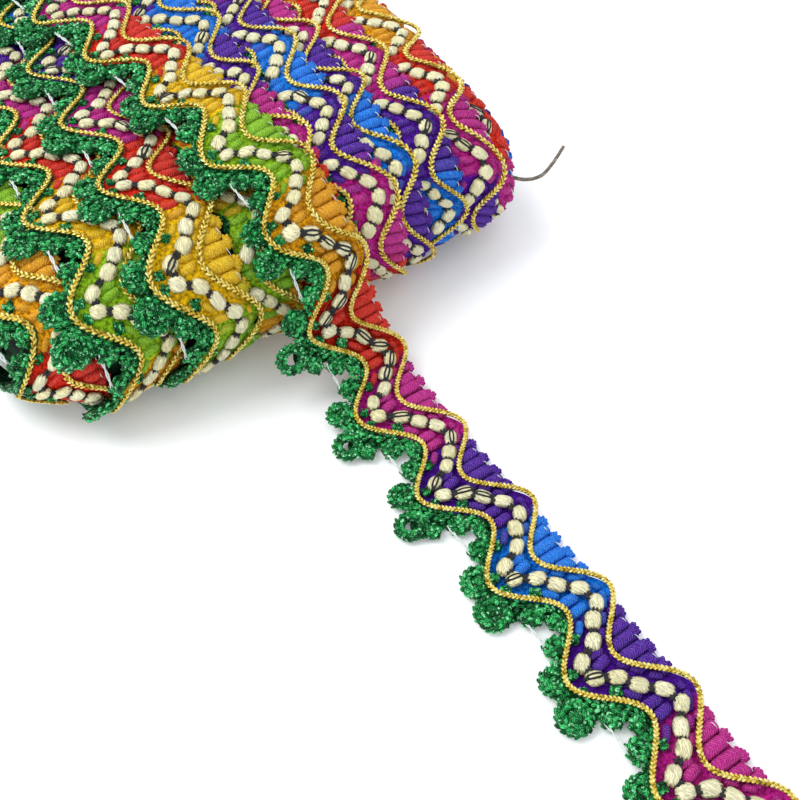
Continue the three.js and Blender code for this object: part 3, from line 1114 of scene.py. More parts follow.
@dataclass(frozen=True)
class GroundFinish:
    """The lace ground: dyed above the lower cord, green below it, both kept dark as painted shade, with
    painted glints in the green.
    """

    def make(self) -> bpy.types.Material:
        """Builds the material."""
        graph = Graph("lace_ground")
        form, trim, place = graph.attribute("form"), graph.attribute("trim"), graph.place()
        fine = graph.noise(place, 1500.0, 2.0)
        glint_speck = graph.cells(place, 2600.0)
        dyed = DyeCycle().read(graph, trim.part("X"))
        # Weave texture and painted shade: noise dims the dye to between a third and nearly full where the
        # ground shows between the dressing.
        weave_and_shade = graph.mix(fine.eased(0.3, 0.7), (0.32, 0.26, 0.32, 1), (0.96, 0.92, 0.96, 1))
        dyed = graph.mix(1.0, dyed, weave_and_shade, "MULTIPLY")
        # Dark green as painted shade under the stitches, with pale specks as painted glints.
        green = graph.mix(fine.eased(0.35, 0.65), linear(3, 34, 14), linear(14, 96, 44))
        green = graph.mix(glint_speck.eased(0.88, 0.95) * 0.6, green, linear(90, 200, 130))
        return graph.finish(
            Base_Color=graph.mix(form.part("Y").eased(0.1, 0.6), green, dyed),
            Roughness=0.8,
            Specular_IOR_Level=0.12,
            Normal=graph.bump(fine + glint_speck * 0.3, 0.0004),
        )


@dataclass(frozen=True)
class GoldFinish:
    """Plaited metallic gold yarn, darker at the sides of each plait and over the core as painted shade."""

    filament: float = 0.15

    def make(self) -> bpy.types.Material:
        """Builds the material."""
        graph = Graph("gold_cord")
        form, trim, place = graph.attribute("form"), graph.attribute("trim"), graph.place()
        noise = graph.noise(place, 1300.0, 2.0)
        line = (form.part("Y") * (2 * math.pi / self.filament) + noise * 3.0).sine() * 0.5 + 0.5
        # Painted shade: edge darkens the sides of each plait bead and most of the core, where the plaits
        # part; line, grain and each copy's tone vary it at random.
        edge = abs(form.part("Y")).eased(0.14, 0.27)
        grain = noise.eased(0.32, 0.68)
        tone = (line * 0.25 + grain * 0.6 + (trim.part("Z") - 0.5) * 0.4 - edge * 0.4 + 0.14).clamped()
        stops = [(0.0, linear(80, 52, 2)), (0.42, linear(236, 202, 62)), (1.0, linear(255, 248, 168))]
        return graph.finish(
            Base_Color=graph.ramp(tone, stops),
            Metallic=0.6,
            Roughness=0.32,
            Normal=graph.bump(line, 0.00006),
        )


@dataclass(frozen=True)
class RibbonFinish:
    """Pale gold woven ribbon, glossy, with sharp creases along each puff, and painted shade in its creases,
    folds, ends and sides.
    """

    def make(self) -> bpy.types.Material:
        """Builds the material."""
        graph = Graph("lame_ribbon")
        form, trim = graph.attribute("form"), graph.attribute("trim")
        moved = graph.vector("ADD", form, trim)
        folds = graph.noise(moved, 1.5, 2.0, (0.30, 1.5, 0.6))
        fine = graph.noise(moved, 6.0, 2.0, (0.35, 1.6, 1.0))
        # Painted shade: olive in the creases and folds, at the gathered ends streaked by the tufts, and at
        # the sides of each puff; the base cream differs at random per puff.
        crease = 1 - abs(folds - 0.5).eased(0.0, 0.05)
        end = abs(form.part("X")).eased(1.15, 1.75)
        side = abs(form.part("Y")).eased(0.95, 1.35)
        tufts = (form.part("Y") * 9.0 + fine * 3.0).sine() * 0.5 + 0.5
        shade = crease * 0.42 + end * (tufts * 0.7 + 0.35) + side * 0.55
        shade = shade + folds.eased(0.52, 0.7) * 0.5 + fine * 0.3 - 0.34
        base = graph.mix(trim.part("Z") * 0.6, linear(255, 250, 208), linear(246, 234, 168))
        return graph.finish(
            Base_Color=graph.mix(shade.clamped(), base, linear(112, 98, 36)),
            Metallic=0.15,
            Roughness=0.30 + fine * 0.12,
            Normal=graph.bump(folds * 1.2 + fine * 0.3 - crease * 0.4, 0.0004),
        )


@dataclass(frozen=True)
class PlainThreadFinish:
    """A plain thread or strand with fine fibres."""

    name: str
    colour: Colour
    light: Colour
    rough: float = 0.7

    def make(self) -> bpy.types.Material:
        """Builds the material."""
        graph = Graph(self.name)
        form = graph.attribute("form")
        fibre = graph.noise(form, 5.0, 3.0, (0.6, 3.0, 1.0))
        return graph.finish(
            Base_Color=graph.mix(fibre.eased(0.4, 0.75), self.colour, self.light),
            Roughness=self.rough,
            Normal=graph.bump(fibre, 0.00012),
        )


@dataclass(frozen=True)
class WoundBaseFinish:
    """The inner layers of the winding, seen between turns: dark green as painted shade, with pale specks as
    painted glints.
    """

    def make(self) -> bpy.types.Material:
        """Builds the material."""
        graph = Graph("wound_base")
        place = graph.place()
        cloth = graph.noise(place, 420.0, 3.0, (1.0, 0.35, 1.0))
        glint_speck = graph.cells(place, 1400.0)
        # Dark greens as painted shade between the turns; the pale specks are painted glints.
        green = graph.mix(cloth.eased(0.42, 0.62), linear(6, 24, 12), linear(14, 66, 34))
        colour = graph.mix(glint_speck.eased(0.9, 0.97) * 0.5, green, linear(40, 120, 70))
        return graph.finish(
            Base_Color=colour, Roughness=0.8, Normal=graph.bump(cloth + glint_speck * 0.5, 0.0006)
        )


@dataclass(frozen=True)
class WireFinish:
    """Dull brown-grey coating on the tie wire, scuffed."""

    def make(self) -> bpy.types.Material:
        """Builds the material."""
        graph = Graph("tie_wire")
        place = graph.place()
        scuff = graph.noise(place, 700.0, 3.0, (1.0, 3.0, 3.0))
        colour = graph.mix(scuff.eased(0.4, 0.7), linear(96, 88, 76), linear(150, 140, 124))
        return graph.finish(
            Base_Color=colour,
            Roughness=0.48 + scuff * 0.2,
            Metallic=0.35,
            Normal=graph.bump(scuff, 0.00005),
        )


class Finishes:
    """Every finish, made once."""

    def __init__(self) -> None:
        """Makes the materials."""
        black = (linear(10, 9, 12), linear(58, 54, 60))
        white = (linear(205, 214, 210), linear(250, 252, 250))
        self.green = MetallicYarnFinish().make()
        self.chenille = ChenilleFinish().make()
        self.gold = GoldFinish().make()
        self.ribbon = RibbonFinish().make()
        self.base = WoundBaseFinish().make()
        self.wire = WireFinish().make()
        self.ground = GroundFinish().make()
        self.black = PlainThreadFinish("black_thread", *black).make()
        self.nylon = PlainThreadFinish("white_nylon", *white, 0.3).make()


@dataclass
class Bench:
    """What one repeat of crochet is laid with: its piece, its unit shapes and its unevenness."""

    piece: Joined
    stretch: Stretch
    stitch: Shape
    core: Shape
    dome: Shape
    spacing: float
    random: Random


@dataclass
class GreenCrochet:
    """The scalloped green edge: plump crocheted hoops, ridged with stitches of metallic yarn."""

    tube: float = 1.05
    spacing: tuple[float, float, float] = (0.88, 1.1, 1.6)
    stitch: tuple[float, float, float] = (0.64, 0.41, 0.37)
    lean: float = 28.0
    height: float = 1.15
    border: tuple[float, ...] = (1.3, 2.6)
    overlap: float = 0.42
    clear_of_cord: float = 0.8
    core_stitches: int = 5
    stray: float = 0.07

    @staticmethod
    def lobes(stretch: Stretch, k: int) -> list[Lobe]:
        """The hoops of one repeat, each a little off its even place."""
        random = stretch.random(k, 1)
        kinds = LOOPED_LOBES if k in stretch.open_loops else GREEN_LOBES
        found = []
        for lobe in kinds:
            ds, dt, dr = random.normal(0, (0.22, 0.25, 0.10))
            wide, tall = lobe.wide + dr, lobe.tall + dr
            found.append(Lobe(lobe.s + ds + k * REPEAT, lobe.t + dt, wide, tall, lobe.is_open))
        return found

    def lay(self, piece: Joined, stretch: Stretch) -> None:
        """Lays the green edge of a stretch where it shows."""
        kinds = {
            Detail.FINE: (bead(5, 4), ring(20, 8), bead(10, 6), self.spacing[0]),
            Detail.WOUND: (bead(4, 3), ring(12, 5), bead(6, 3), self.spacing[1]),
            Detail.FAR: (bead(4, 3), ring(9, 4), bead(5, 3), self.spacing[2]),
        }
        for k in stretch.repeats():
            lobes = self.lobes(stretch, k)
            at = Bench(piece, stretch, *kinds[stretch.detail_at(k)], stretch.random(k, 2))
            for lobe in lobes:
                if stretch.shows(lobe.s) and stretch.lowest < lobe.t:
                    self._hoop(at, lobe, lobes)
            self._border(at, lobes, k)
            self._knobs(at, k)

    def _stitches(
        self,
        at: Bench,
        centre: np.ndarray,
        angle: np.ndarray,
        turn: float,
        sizes: tuple[float, float],
        light: float,
    ) -> None:
        """Lays stitches, each a little off its place.

        Args:
            at: the bench.
            centre: their even places, (n, 3).
            angle: their even angles in radians.
            turn: how far they stray from those angles.
            sizes: their smallest and largest size.
            light: the shade of the lightest, from 0 to 1.
        """
        count = len(centre)
        centre = centre + at.random.normal(0, self.stray, (count, 3))
        angle = angle + at.random.normal(0, turn, count)
        halves = np.tile(self.stitch, (count, 1)) * at.random.uniform(*sizes, (count, 1))
        at.piece.stamp(at.stretch, at.stitch, centre, angle, halves, at.random.uniform(0, light, count))

    def _braid(self, at: Bench, line: np.ndarray, heading: np.ndarray, drop: float = 0.0) -> None:
        """Lays V-set stitches on both sides of a line, a drop below a hoop's crown."""
        for side in (-1.0, 1.0):
            away = np.stack([-np.sin(heading), np.cos(heading)], 1) * (side * 0.40)
            ahead = np.stack([np.cos(heading), np.sin(heading)], 1) * (0.20 * side)
            crown = np.full(len(line), self.height + self.tube * 0.78 - drop)
            centre = np.column_stack([line + away + ahead, crown])
            self._stitches(at, centre, heading - side * math.radians(self.lean), 0.14, (0.85, 1.15), 1)

    def _flank(self, at: Bench, line: np.ndarray, heading: np.ndarray, away: float, rise: float) -> None:
        """Lays one row of stitches at the side of a tube."""
        out = np.stack([np.sin(heading), -np.cos(heading)], 1) * away
        centre = np.column_stack([line + out, np.full(len(line), self.height + rise)])
        self._stitches(at, centre, heading + 0.5, 0.2, (0.8, 1.1), 0.7)

    @staticmethod
    def _round(
        at: Bench, count: int, middle: Sequence[float], half: Sequence[float]
    ) -> tuple[np.ndarray, np.ndarray]:
        """Places round an oval, and the angle of each."""
        angle = np.arange(count) * (2 * math.pi / count) + at.random.uniform(0, 1)
        line = [middle[0] + half[0] * np.cos(angle), middle[1] + half[1] * np.sin(angle)]
        return np.stack(line, 1), angle

    def _hoop(self, at: Bench, lobe: Lobe, lobes: list[Lobe]) -> None:
        """Lays one hoop of a repeat: its round core, its braid, and the dome that closes it."""
        tube = min(self.tube, lobe.wide * 0.62)
        a, b = lobe.wide - tube, lobe.tall - tube
        at.piece.hoop(at.stretch, at.core, (lobe.s, lobe.t, self.height), (a, b), tube * 0.92)
        if not lobe.is_open:
            # The dome that closes the hoop gets a low tone: painted shade in the hoop's middle.
            centre = np.array([[lobe.s, lobe.t, self.height - 0.1]])
            size = np.array([[a, b, tube * 0.75]])
            at.piece.stamp(at.stretch, at.dome, centre, np.zeros(1), size, np.full(1, 0.1))
        length = 2 * math.pi * math.sqrt((a * a + b * b) / 2)
        line, angle = self._round(at, max(5, round(length / at.spacing)), (lobe.s, lobe.t), (a, b))
        heading = np.arctan2(b * np.cos(angle), -a * np.sin(angle))
        keep = line[:, 1] < LOWER_CORD.at(line[:, 0]) - self.clear_of_cord
        for other in lobes:
            if other is not lobe:
                keep &= other.share(line) > self.overlap
        self._braid(at, line[keep], heading[keep])
        self._flank(at, line[keep], heading[keep], tube * 0.86, 0.1)
        if not lobe.is_open and a > 1.2:
            line, angle = self._round(at, self.core_stitches, (lobe.s, lobe.t), (0.5, 0.5))
            keep = line[:, 1] < LOWER_CORD.at(line[:, 0]) - self.clear_of_cord
            self._flank(at, line[keep], angle[keep], 0.1, 0.55)

    def _border(self, at: Bench, lobes: list[Lobe], k: int) -> None:
        """Lays the rows of stitches under the lower cord."""
        s = k * REPEAT + np.arange(0.0, REPEAT, at.spacing * 1.05)
        for away in self.border:
            line = np.stack([s, LOWER_CORD.at(s) - away], 1)
            heading = np.arctan(LOWER_CORD.slope(s))
            keep = at.stretch.shows(s)
            for lobe in lobes:
                keep &= lobe.share(line) > 1.0
            keep &= (line[:, 1] > -9.4) | (np.mod(s, REPEAT) > 6) & (np.mod(s, REPEAT) < 17)
            self._braid(at, line[keep], heading[keep], 0.2)

    def _knobs(self, at: Bench, k: int) -> None:
        """Lays the green knobs between the lower cord and the sequins."""
        for s, t, radius in GREEN_KNOBS:
            s, t = s + k * REPEAT + at.random.normal(0, 0.15), t + at.random.normal(0, 0.15)
            if at.stretch.shows(s):
                # The knob's dome gets a low tone: painted shade under its stitches.
                centre = np.array([[s, t, self.height]])
                size = np.array([[radius * 0.85, radius * 0.85, 0.8]])
                at.piece.stamp(at.stretch, at.dome, centre, np.zeros(1), size, np.full(1, 0.2))
                line, angle = self._round(at, 4, (s, t), (radius * 0.5, radius * 0.5))
                self._flank(at, line, angle + math.pi / 2, 0.1, 0.62)


@dataclass
class DyedChenille:
    """Fans of dyed ribs with shell-like petals outside them, and the pads among the sequins."""

    columns: tuple[float, ...] = (4.9, 7.3, 9.8, 12.3, 14.8, 17.2)
    column_half: float = 1.34
    column_height: float = 1.05
    fan_edge: float = 7.3
    petals: tuple[float, ...] = (5.2, 9.2, 13.0, 16.9)
    petal_line: float = 7.55
    petal_reach: float = 0.85
    finger: tuple[float, float, float] = (0.62, 0.42, 0.55)
    lag: float = 5.0
    pads: tuple[tuple[float, ...], ...] = (
        (-1.4, 1.2, 1.0, 86.0, 2.0, 1.1, 0.95), (0.9, 1.3, 1.0, 94.0, 2.0, 1.1, 0.95),
        (-4.2, -0.6, 0.95, 45.0, 1.7, 0.85, 0.9), (3.8, -0.5, 0.95, -45.0, 1.5, 0.85, 0.9),
        (8.9, -1.3, 1.0, 80.0, 2.0, 1.1, 0.95), (10.9, -1.3, 1.0, 100.0, 2.0, 1.1, 0.95),
        (2.2, 6.1, 0.95, -42.0, 1.3, 0.9, 0.9), (4.6, 4.0, 0.95, -46.0, 1.3, 0.9, 0.9),
        (6.8, 2.3, 0.95, -40.0, 1.3, 0.9, 0.9), (13.4, 1.6, 0.9, 40.0, 1.1, 0.6, 0.85),
        (15.2, 3.1, 0.9, 42.0, 1.2, 0.7, 0.85), (17.6, 4.9, 0.9, 46.0, 1.2, 0.7, 0.85),
        (-0.8, 7.0, 1.1, 10.0, 0.8, 0.6, 0.8), (0.9, 7.0, 1.1, -10.0, 0.8, 0.6, 0.8),
    )

    def lay(self, piece: Joined, stretch: Stretch) -> None:
        """Lays the chenille of a stretch where it shows."""
        kinds = {
            Detail.FINE: (rib(12, 9), bead(7, 5), rib(8, 6), bead(10, 6)),
            Detail.WOUND: (rib(7, 5), bead(4, 3), rib(6, 4), bead(6, 4)),
            Detail.FAR: (rib(6, 4), bead(4, 3), rib(5, 3), bead(5, 3)),
        }
        for k in stretch.repeats():
            random = stretch.random(k, 3)
            plump, knot, pad, heart = kinds[stretch.detail_at(k)]
            hearts = [(s, self.petal_line - 0.05, 0.85, 0.0, 1.15, 0.95, 0.75) for s in self.petals]
            for shape, rows, lag in (
                (plump, self._fan(random), 0.0), (knot, self._shells(random), 0.0),
                (heart, np.array(hearts), 0.0), (pad, np.array(self.pads), self.lag),
            ):
                rows[:, 0] += k * REPEAT
                rows[:, :2] += random.normal(0, 0.1, (len(rows), 2))
                tones = random.uniform(0, 1, len(rows))
                keep = stretch.shows(rows[:, 0])
                rows, tones = rows[keep], tones[keep]
                if len(rows):
                    angles = np.radians(rows[:, 3])
                    piece.stamp(stretch, shape, rows[:, :3], angles, rows[:, 4:7], tones, lag)

    def _fan(self, random: Random) -> np.ndarray:
        """Rows of s, t, h, angle in degrees and half sizes for the columns of one fan."""
        rows = []
        for s in self.columns:
            inner = float(UPPER_CORD.at(s)) + 0.2
            outer = max(self.fan_edge + random.normal(0, 0.15), inner + 1.5)
            lean = (s - 11) * 0.9
            half = (outer - inner) / 2 + 0.25
            height = self.column_height * random.uniform(0.94, 1.08)
            place = (s + (s - 11) * 0.03, (inner + outer) / 2, 1.0)
            rows.append((*place, 90 - lean, half, self.column_half, height))
        return np.array(rows)

    def _shells(self, random: Random) -> np.ndarray:
        """Rows for the fingers that fan out in each petal."""
        rows = []
        for s in self.petals:
            lean = (s - 11) * 2.0
            for degrees in (0, 36, 72, 108, 144, 180):
                turn = math.radians(degrees - lean + random.normal(0, 4))
                reach = self.petal_reach * random.uniform(0.9, 1.1)
                place = (s + 1.05 * reach * math.cos(turn), self.petal_line + 0.72 * reach * math.sin(turn))
                rows.append((*place, 0.95 + random.normal(0, 0.08), math.degrees(turn), *self.finger))
        return np.array(rows)


@dataclass
class GoldCords:
    """Two gold cords that swing across the trim, each plaited round a core."""

    pitch: float = 1.02
    fine_pitch: float = 0.74
    core: float = 0.38
    lozenge: tuple[float, float, float] = (0.50, 0.27, 0.30)
    wound_scale: float = 1.34
    aside: float = 0.23
    lean: float = 33.0
    height: float = 2.15

    def line(self, wave: Wave) -> Callable[[np.ndarray], np.ndarray]:
        """The flat line that a cord follows."""
        return lambda s: upright(s, wave.at(s), self.height)

    def lay(self, piece: Joined, stretch: Stretch, wave: Wave) -> None:
        """Lays one cord of a stretch: its core throughout, its plait where it shows."""
        fine = stretch.detail is Detail.FINE
        piece.sweep(stretch, self.line(wave), stretch.first, stretch.last, 1.2, self.core, 6 if fine else 4)
        shape, pitch = (bead(6, 4), self.fine_pitch) if fine else (bead(4, 3), self.pitch)
        scale = np.array([1.0 if fine else self.wound_scale, 1.0, 1.0])
        first, last = stretch.shown()
        dense = np.arange(first, last, 0.05)
        length = np.concatenate([[0.0], np.cumsum(0.05 * np.sqrt(1 + wave.slope(dense[:-1]) ** 2))])
        random = np.random.default_rng([stretch.seed, 17, int(wave.level > 0)])
        for side in (-1.0, 1.0):
            s = np.interp(np.arange(pitch * (0.5 + 0.25 * side), length[-1], pitch), length, dense)
            heading = np.arctan(wave.slope(s))
            centre = self.line(wave)(s)
            centre[:, 0] -= side * self.aside * np.sin(heading)
            centre[:, 1] += side * self.aside * np.cos(heading)
            centre[:, 2] += 0.24
            angle = heading - side * math.radians(self.lean) + random.normal(0, 0.06, len(s))
            halves = self.lozenge * scale * random.uniform(0.94, 1.06, (len(s), 1))
            piece.stamp(stretch, shape, centre, angle, halves, random.uniform(0, 1, len(s)))


@dataclass
class SequinRow:
    """Puffs of gathered ribbon that zigzag between the cords."""

    puffs: tuple[tuple[float, float, float, float, float], ...] = (
        (1.5, 4.8, -33, 3.4, 2.5), (4.4, 2.2, -35, 3.6, 2.8), (7.1, -0.1, -50, 3.4, 2.7),
        (9.2, -4.0, -55, 3.4, 2.6), (12.4, -4.35, 78, 3.2, 2.6), (14.3, -0.9, 68, 3.6, 2.6),
        (17.1, 1.5, 33, 3.5, 2.6), (20.0, 4.1, 48, 3.5, 2.6),
    )
    thick: float = 0.78
    fullness: float = 1.06
    height: float = 1.85
    kinds: int = 3

    def places(self, stretch: Stretch, k: int) -> tuple[np.ndarray, np.ndarray, np.ndarray, np.ndarray]:
        """Centres, angles, half sizes and tones of one repeat's puffs."""
        random = stretch.random(k, 4)
        rows = np.array(self.puffs)
        count = len(rows)
        centre = np.column_stack([rows[:, 0] + k * REPEAT, rows[:, 1], np.full(count, self.height)])
        centre += random.normal(0, (0.16, 0.16, 0.06), (count, 3))
        angle = np.radians(rows[:, 2] + random.normal(0, 6.0, count))
        halves = np.column_stack([rows[:, 3:5] / 2, np.full(count, self.thick)]) * self.fullness
        halves *= random.uniform(0.93, 1.06, (count, 3))
        return centre, angle, halves, random.uniform(0, 1, count)

    def lay(self, piece: Joined, stretch: Stretch) -> None:
        """Lays the puffs of a stretch where it shows."""
        sides, rings = (16, 10) if stretch.detail is Detail.FINE else (8, 6)
        shapes = [puff(sides, rings, kind) for kind in range(self.kinds)]
        for k in stretch.repeats():
            centre, angle, halves, tones = self.places(stretch, k)
            inside = stretch.shows(centre[:, 0])
            for kind, shape in enumerate(shapes):
                keep = inside & ((np.arange(len(centre)) + k) % self.kinds == kind)
                if keep.any():
                    piece.stamp(stretch, shape, centre[keep], angle[keep], halves[keep], tones[keep])


@dataclass
class BlackThread:
    """Doubled black thread that gathers the ribbon between its puffs and runs over some of them."""

    knot: tuple[float, float, float] = (0.42, 0.95, 0.62)
    strand: tuple[float, float, float] = (1.0, 0.26, 0.36)
    apart: float = 0.38
    roll_share: float = 0.12
    loose_share: float = 0.6

    def lay(self, piece: Joined, row: SequinRow, stretch: Stretch) -> None:
        """Lays the thread of a stretch where it shows."""
        fine = stretch.detail is Detail.FINE
        strand, over = (bead(6, 5), eye(20)) if fine else (bead(4, 3), eye(8))
        for k in stretch.repeats():
            centre, angle, halves, tones = row.places(stretch, k)
            following, _, _, _ = row.places(stretch, k + 1)
            chain = np.vstack([centre, following[:1]])
            middle, step = (chain[1:] + chain[:-1]) / 2, chain[1:] - chain[:-1]
            heading = np.arctan2(step[:, 1], step[:, 0])
            keep = stretch.shows(middle[:, 0])
            middle, heading, shade = middle[keep], heading[keep], tones[keep]
            if len(middle):
                size = np.tile(self.knot, (len(middle), 1))
                piece.stamp(stretch, strand, middle + (0, 0, -0.05), heading, size, shade)
            for side in (-self.apart, self.apart):
                if len(middle):
                    place = middle + np.stack([-np.sin(heading), np.cos(heading), 0 * heading], 1) * side
                    size = np.tile(self.strand, (len(middle), 1))
                    piece.stamp(stretch, strand, place + (0, 0, 0.25), heading + side * 0.4, size, shade)
            self._cross(piece, stretch, over, (centre, angle, halves, tones), k)

    def _cross(
        self,
        piece: Joined,
        stretch: Stretch,
        shape: Shape,
        puffs: tuple[np.ndarray, np.ndarray, np.ndarray, np.ndarray],
        k: int,
    ) -> None:
        """Lays the thread that splits over some of the puffs."""
        centre, angle, halves, tones = puffs
        low, high = stretch.over_thread
        threaded = (centre[:, 0] >= low) & (centre[:, 0] < high)
        chance = np.where(threaded, self.loose_share, self.roll_share)
        crossed = stretch.random(k, 5).uniform(0, 1, len(centre)) < chance
        crossed &= stretch.shows(centre[:, 0])
        if crossed.any():
            piece.stamp(stretch, shape, centre[crossed], angle[crossed], halves[crossed], tones[crossed])


@dataclass
class NylonThread:
    """Clear white strands that sew the edges."""

    radius: float = 0.16
    apart: float = 0.2
    recess: float = -7.8
    recess_height: float = 1.6
    fan: float = 6.9
    bridge: tuple[float, float] = (18.3, 25.5)
    dashes: tuple[float, ...] = (7.1, 11.0, 15.0)
    dash_half: float = 0.7

    def lay(self, piece: Joined, stretch: Stretch) -> None:
        """Lays the strands of a stretch where it shows."""
        first, last = stretch.shown()
        for k in stretch.repeats():
            start = k * REPEAT
            low, high = start + self.bridge[0], start + self.bridge[1]
            if low + 0.2 > first and high < last and stretch.lowest < self.recess:
                for side in (-1.0, 1.0):
                    piece.sweep(stretch, self._bridge(start, side), low, high, 0.9, self.radius, 5)
            for s in self.dashes:
                low, high = start + s - self.dash_half, start + s + self.dash_half
                if low > first and high < last:
                    piece.sweep(stretch, self._dash(start + s), low, high, 0.47, self.radius * 0.5, 4)

    def _bridge(self, start: float, side: float) -> Callable[[np.ndarray], np.ndarray]:
        """One of the two strands that bridge the recess between groups of hoops."""

        def line(s: np.ndarray) -> np.ndarray:
            """The strand's flat points."""
            turn = (s - start - 22) * 1.3
            t = self.recess + side * self.apart * np.cos(turn)
            return upright(s, t, self.recess_height + side * 0.1 * np.sin(turn))

        return line

    def _dash(self, middle: float) -> Callable[[np.ndarray], np.ndarray]:
        """A stitch that shows on top of a fan."""
        return lambda s: upright(s, self.fan + 0.2 * (s - middle), 2.02 - 0.6 * (s - middle) ** 2)


@dataclass(frozen=True)
class Turn:
    """One turn of trim that shows on the roll, with the colour that its chenille starts from."""

    name: str
    x: float
    apex: float
    level: float
    tilt: float
    dye: float
    lowest: float = -99.0
    marks: tuple[tuple[float, float, float], ...] = ((0.0, 0.0, 0.0), (1.0, 1.0, 0.0))
    front_tilt: Optional[float] = None
    front_level: Optional[float] = None
    corded: bool = True
    shows: tuple[float, float] = (-1e9, 1e9)


LAST_TURN_LEVEL = 2.6
LAST_TURN_START = 92.5
LAST_MARKS = (
    (-95.0, -99.0, -0.6), (-86.0, -88.0, -0.4), (-75.0, -77.0, -0.35), (-64.0, -66.0, -0.6),
    (-52.5, -55.0, -0.3), (-43.5, -44.0, -0.6), (-31.0, -33.0, -1.3), (-22.3, -22.0, -1.7),
    (-14.0, -11.0, -0.9), (-2.8, 0.0, -1.6), (8.5, 11.0, -1.2), (20.3, 22.0, -0.8), (31.5, 33.0, -0.7),
    (43.2, 44.0, -0.9), (53.6, 55.0, -0.75), (64.7, 66.0, -0.4), (75.6, 77.0, -0.7), (86.8, 88.0, -0.6),
    (97.4, 99.0, -1.05), (108.6, 110.0, -0.9), (119.6, 121.0, -1.2),
)
LEFT_TURNS = (
    Turn(
        "left_0", -8.5, -52.0, -2.0, 0.0, 160.0, -2.5, front_tilt=0.12, front_level=0.2, shows=(-12.0, 60.0)
    ),
    Turn("left_1", -19.0, -46.8, 0.2, -0.15, 136.5, front_tilt=-0.02, front_level=1.5),
    Turn("left_2", -33.5, -45.2, 0.0, -0.15, 154.0, front_level=-0.1),
    Turn("left_3", -49.0, -53.0, 0.0, -0.02, 198.0, front_tilt=0.06, front_level=-1.8),
)
RIGHT_TURNS = (
    Turn("right_0", -10.0, -42.0, -1.2, 0.05, 88.0, -6.5, shows=(-1e9, -54.0)),
    Turn(
        "right_1", 5.0, -42.6, 0.0, 0.18, 104.0, -6.5,
        marks=((-36.8, -33.0, -1.1), (-24.2, -22.0, 0.0), (-12.4, -11.0, 1.1), (-1.5, 0.0, -0.5)),
    ),
    Turn(
        "right_2", 17.0, -35.2, 0.0, 0.20, 72.0, -6.5,
        (
            (-12.4, -11.0, -0.5), (-1.5, 0.0, -0.8), (12.0, 11.0, -0.9), (23.4, 22.0, -2.2),
            (33.4, 33.0, -1.8), (43.0, 44.0, -1.3), (54.0, 55.0, 0.3),
        ),
    ),
    Turn(
        "right_3", 24.5, -53.4, 0.0, 0.20, 66.0, -2.5,
        ((-21.0, -22.0, -2.0), (0.3, 0.0, -2.4), (20.8, 22.0, -2.6), (30.8, 33.0, -0.6)),
    ),
    Turn(
        "right_4", 34.5, -44.6, 0.0, 0.20, 33.0, -5.5,
        (
            (-12.8, -11.0, -1.2), (0.0, 0.0, -2.2), (13.4, 11.0, -1.9), (23.0, 22.0, -2.3),
            (33.0, 33.0, -1.4), (40.5, 44.0, -2.4),
        ),
    ),
    Turn(
        "right_5", 42.0, -39.0, 0.0, 0.20, 0.0, -2.5,
        ((10.0, 11.0, 1.6), (20.0, 22.0, -0.8), (29.0, 33.0, 1.0), (38.5, 44.0, 0.8)),
    ),
    Turn(
        "right_6", 45.0, -45.3, -0.9, 0.12, -9.0, 0.5,
        ((-20.0, -20.0, 0.0), (0.0, 0.0, 1.0), (20.0, 20.0, 3.2), (44.0, 44.0, 4.2)),
        corded=False,
    ),
    Turn("right_7", 50.5, -52.0, -2.6, 0.0, 150.0, 1.0, corded=False),
)
FLAT_MARGIN = 5.0
FAR_RUN = -40.0


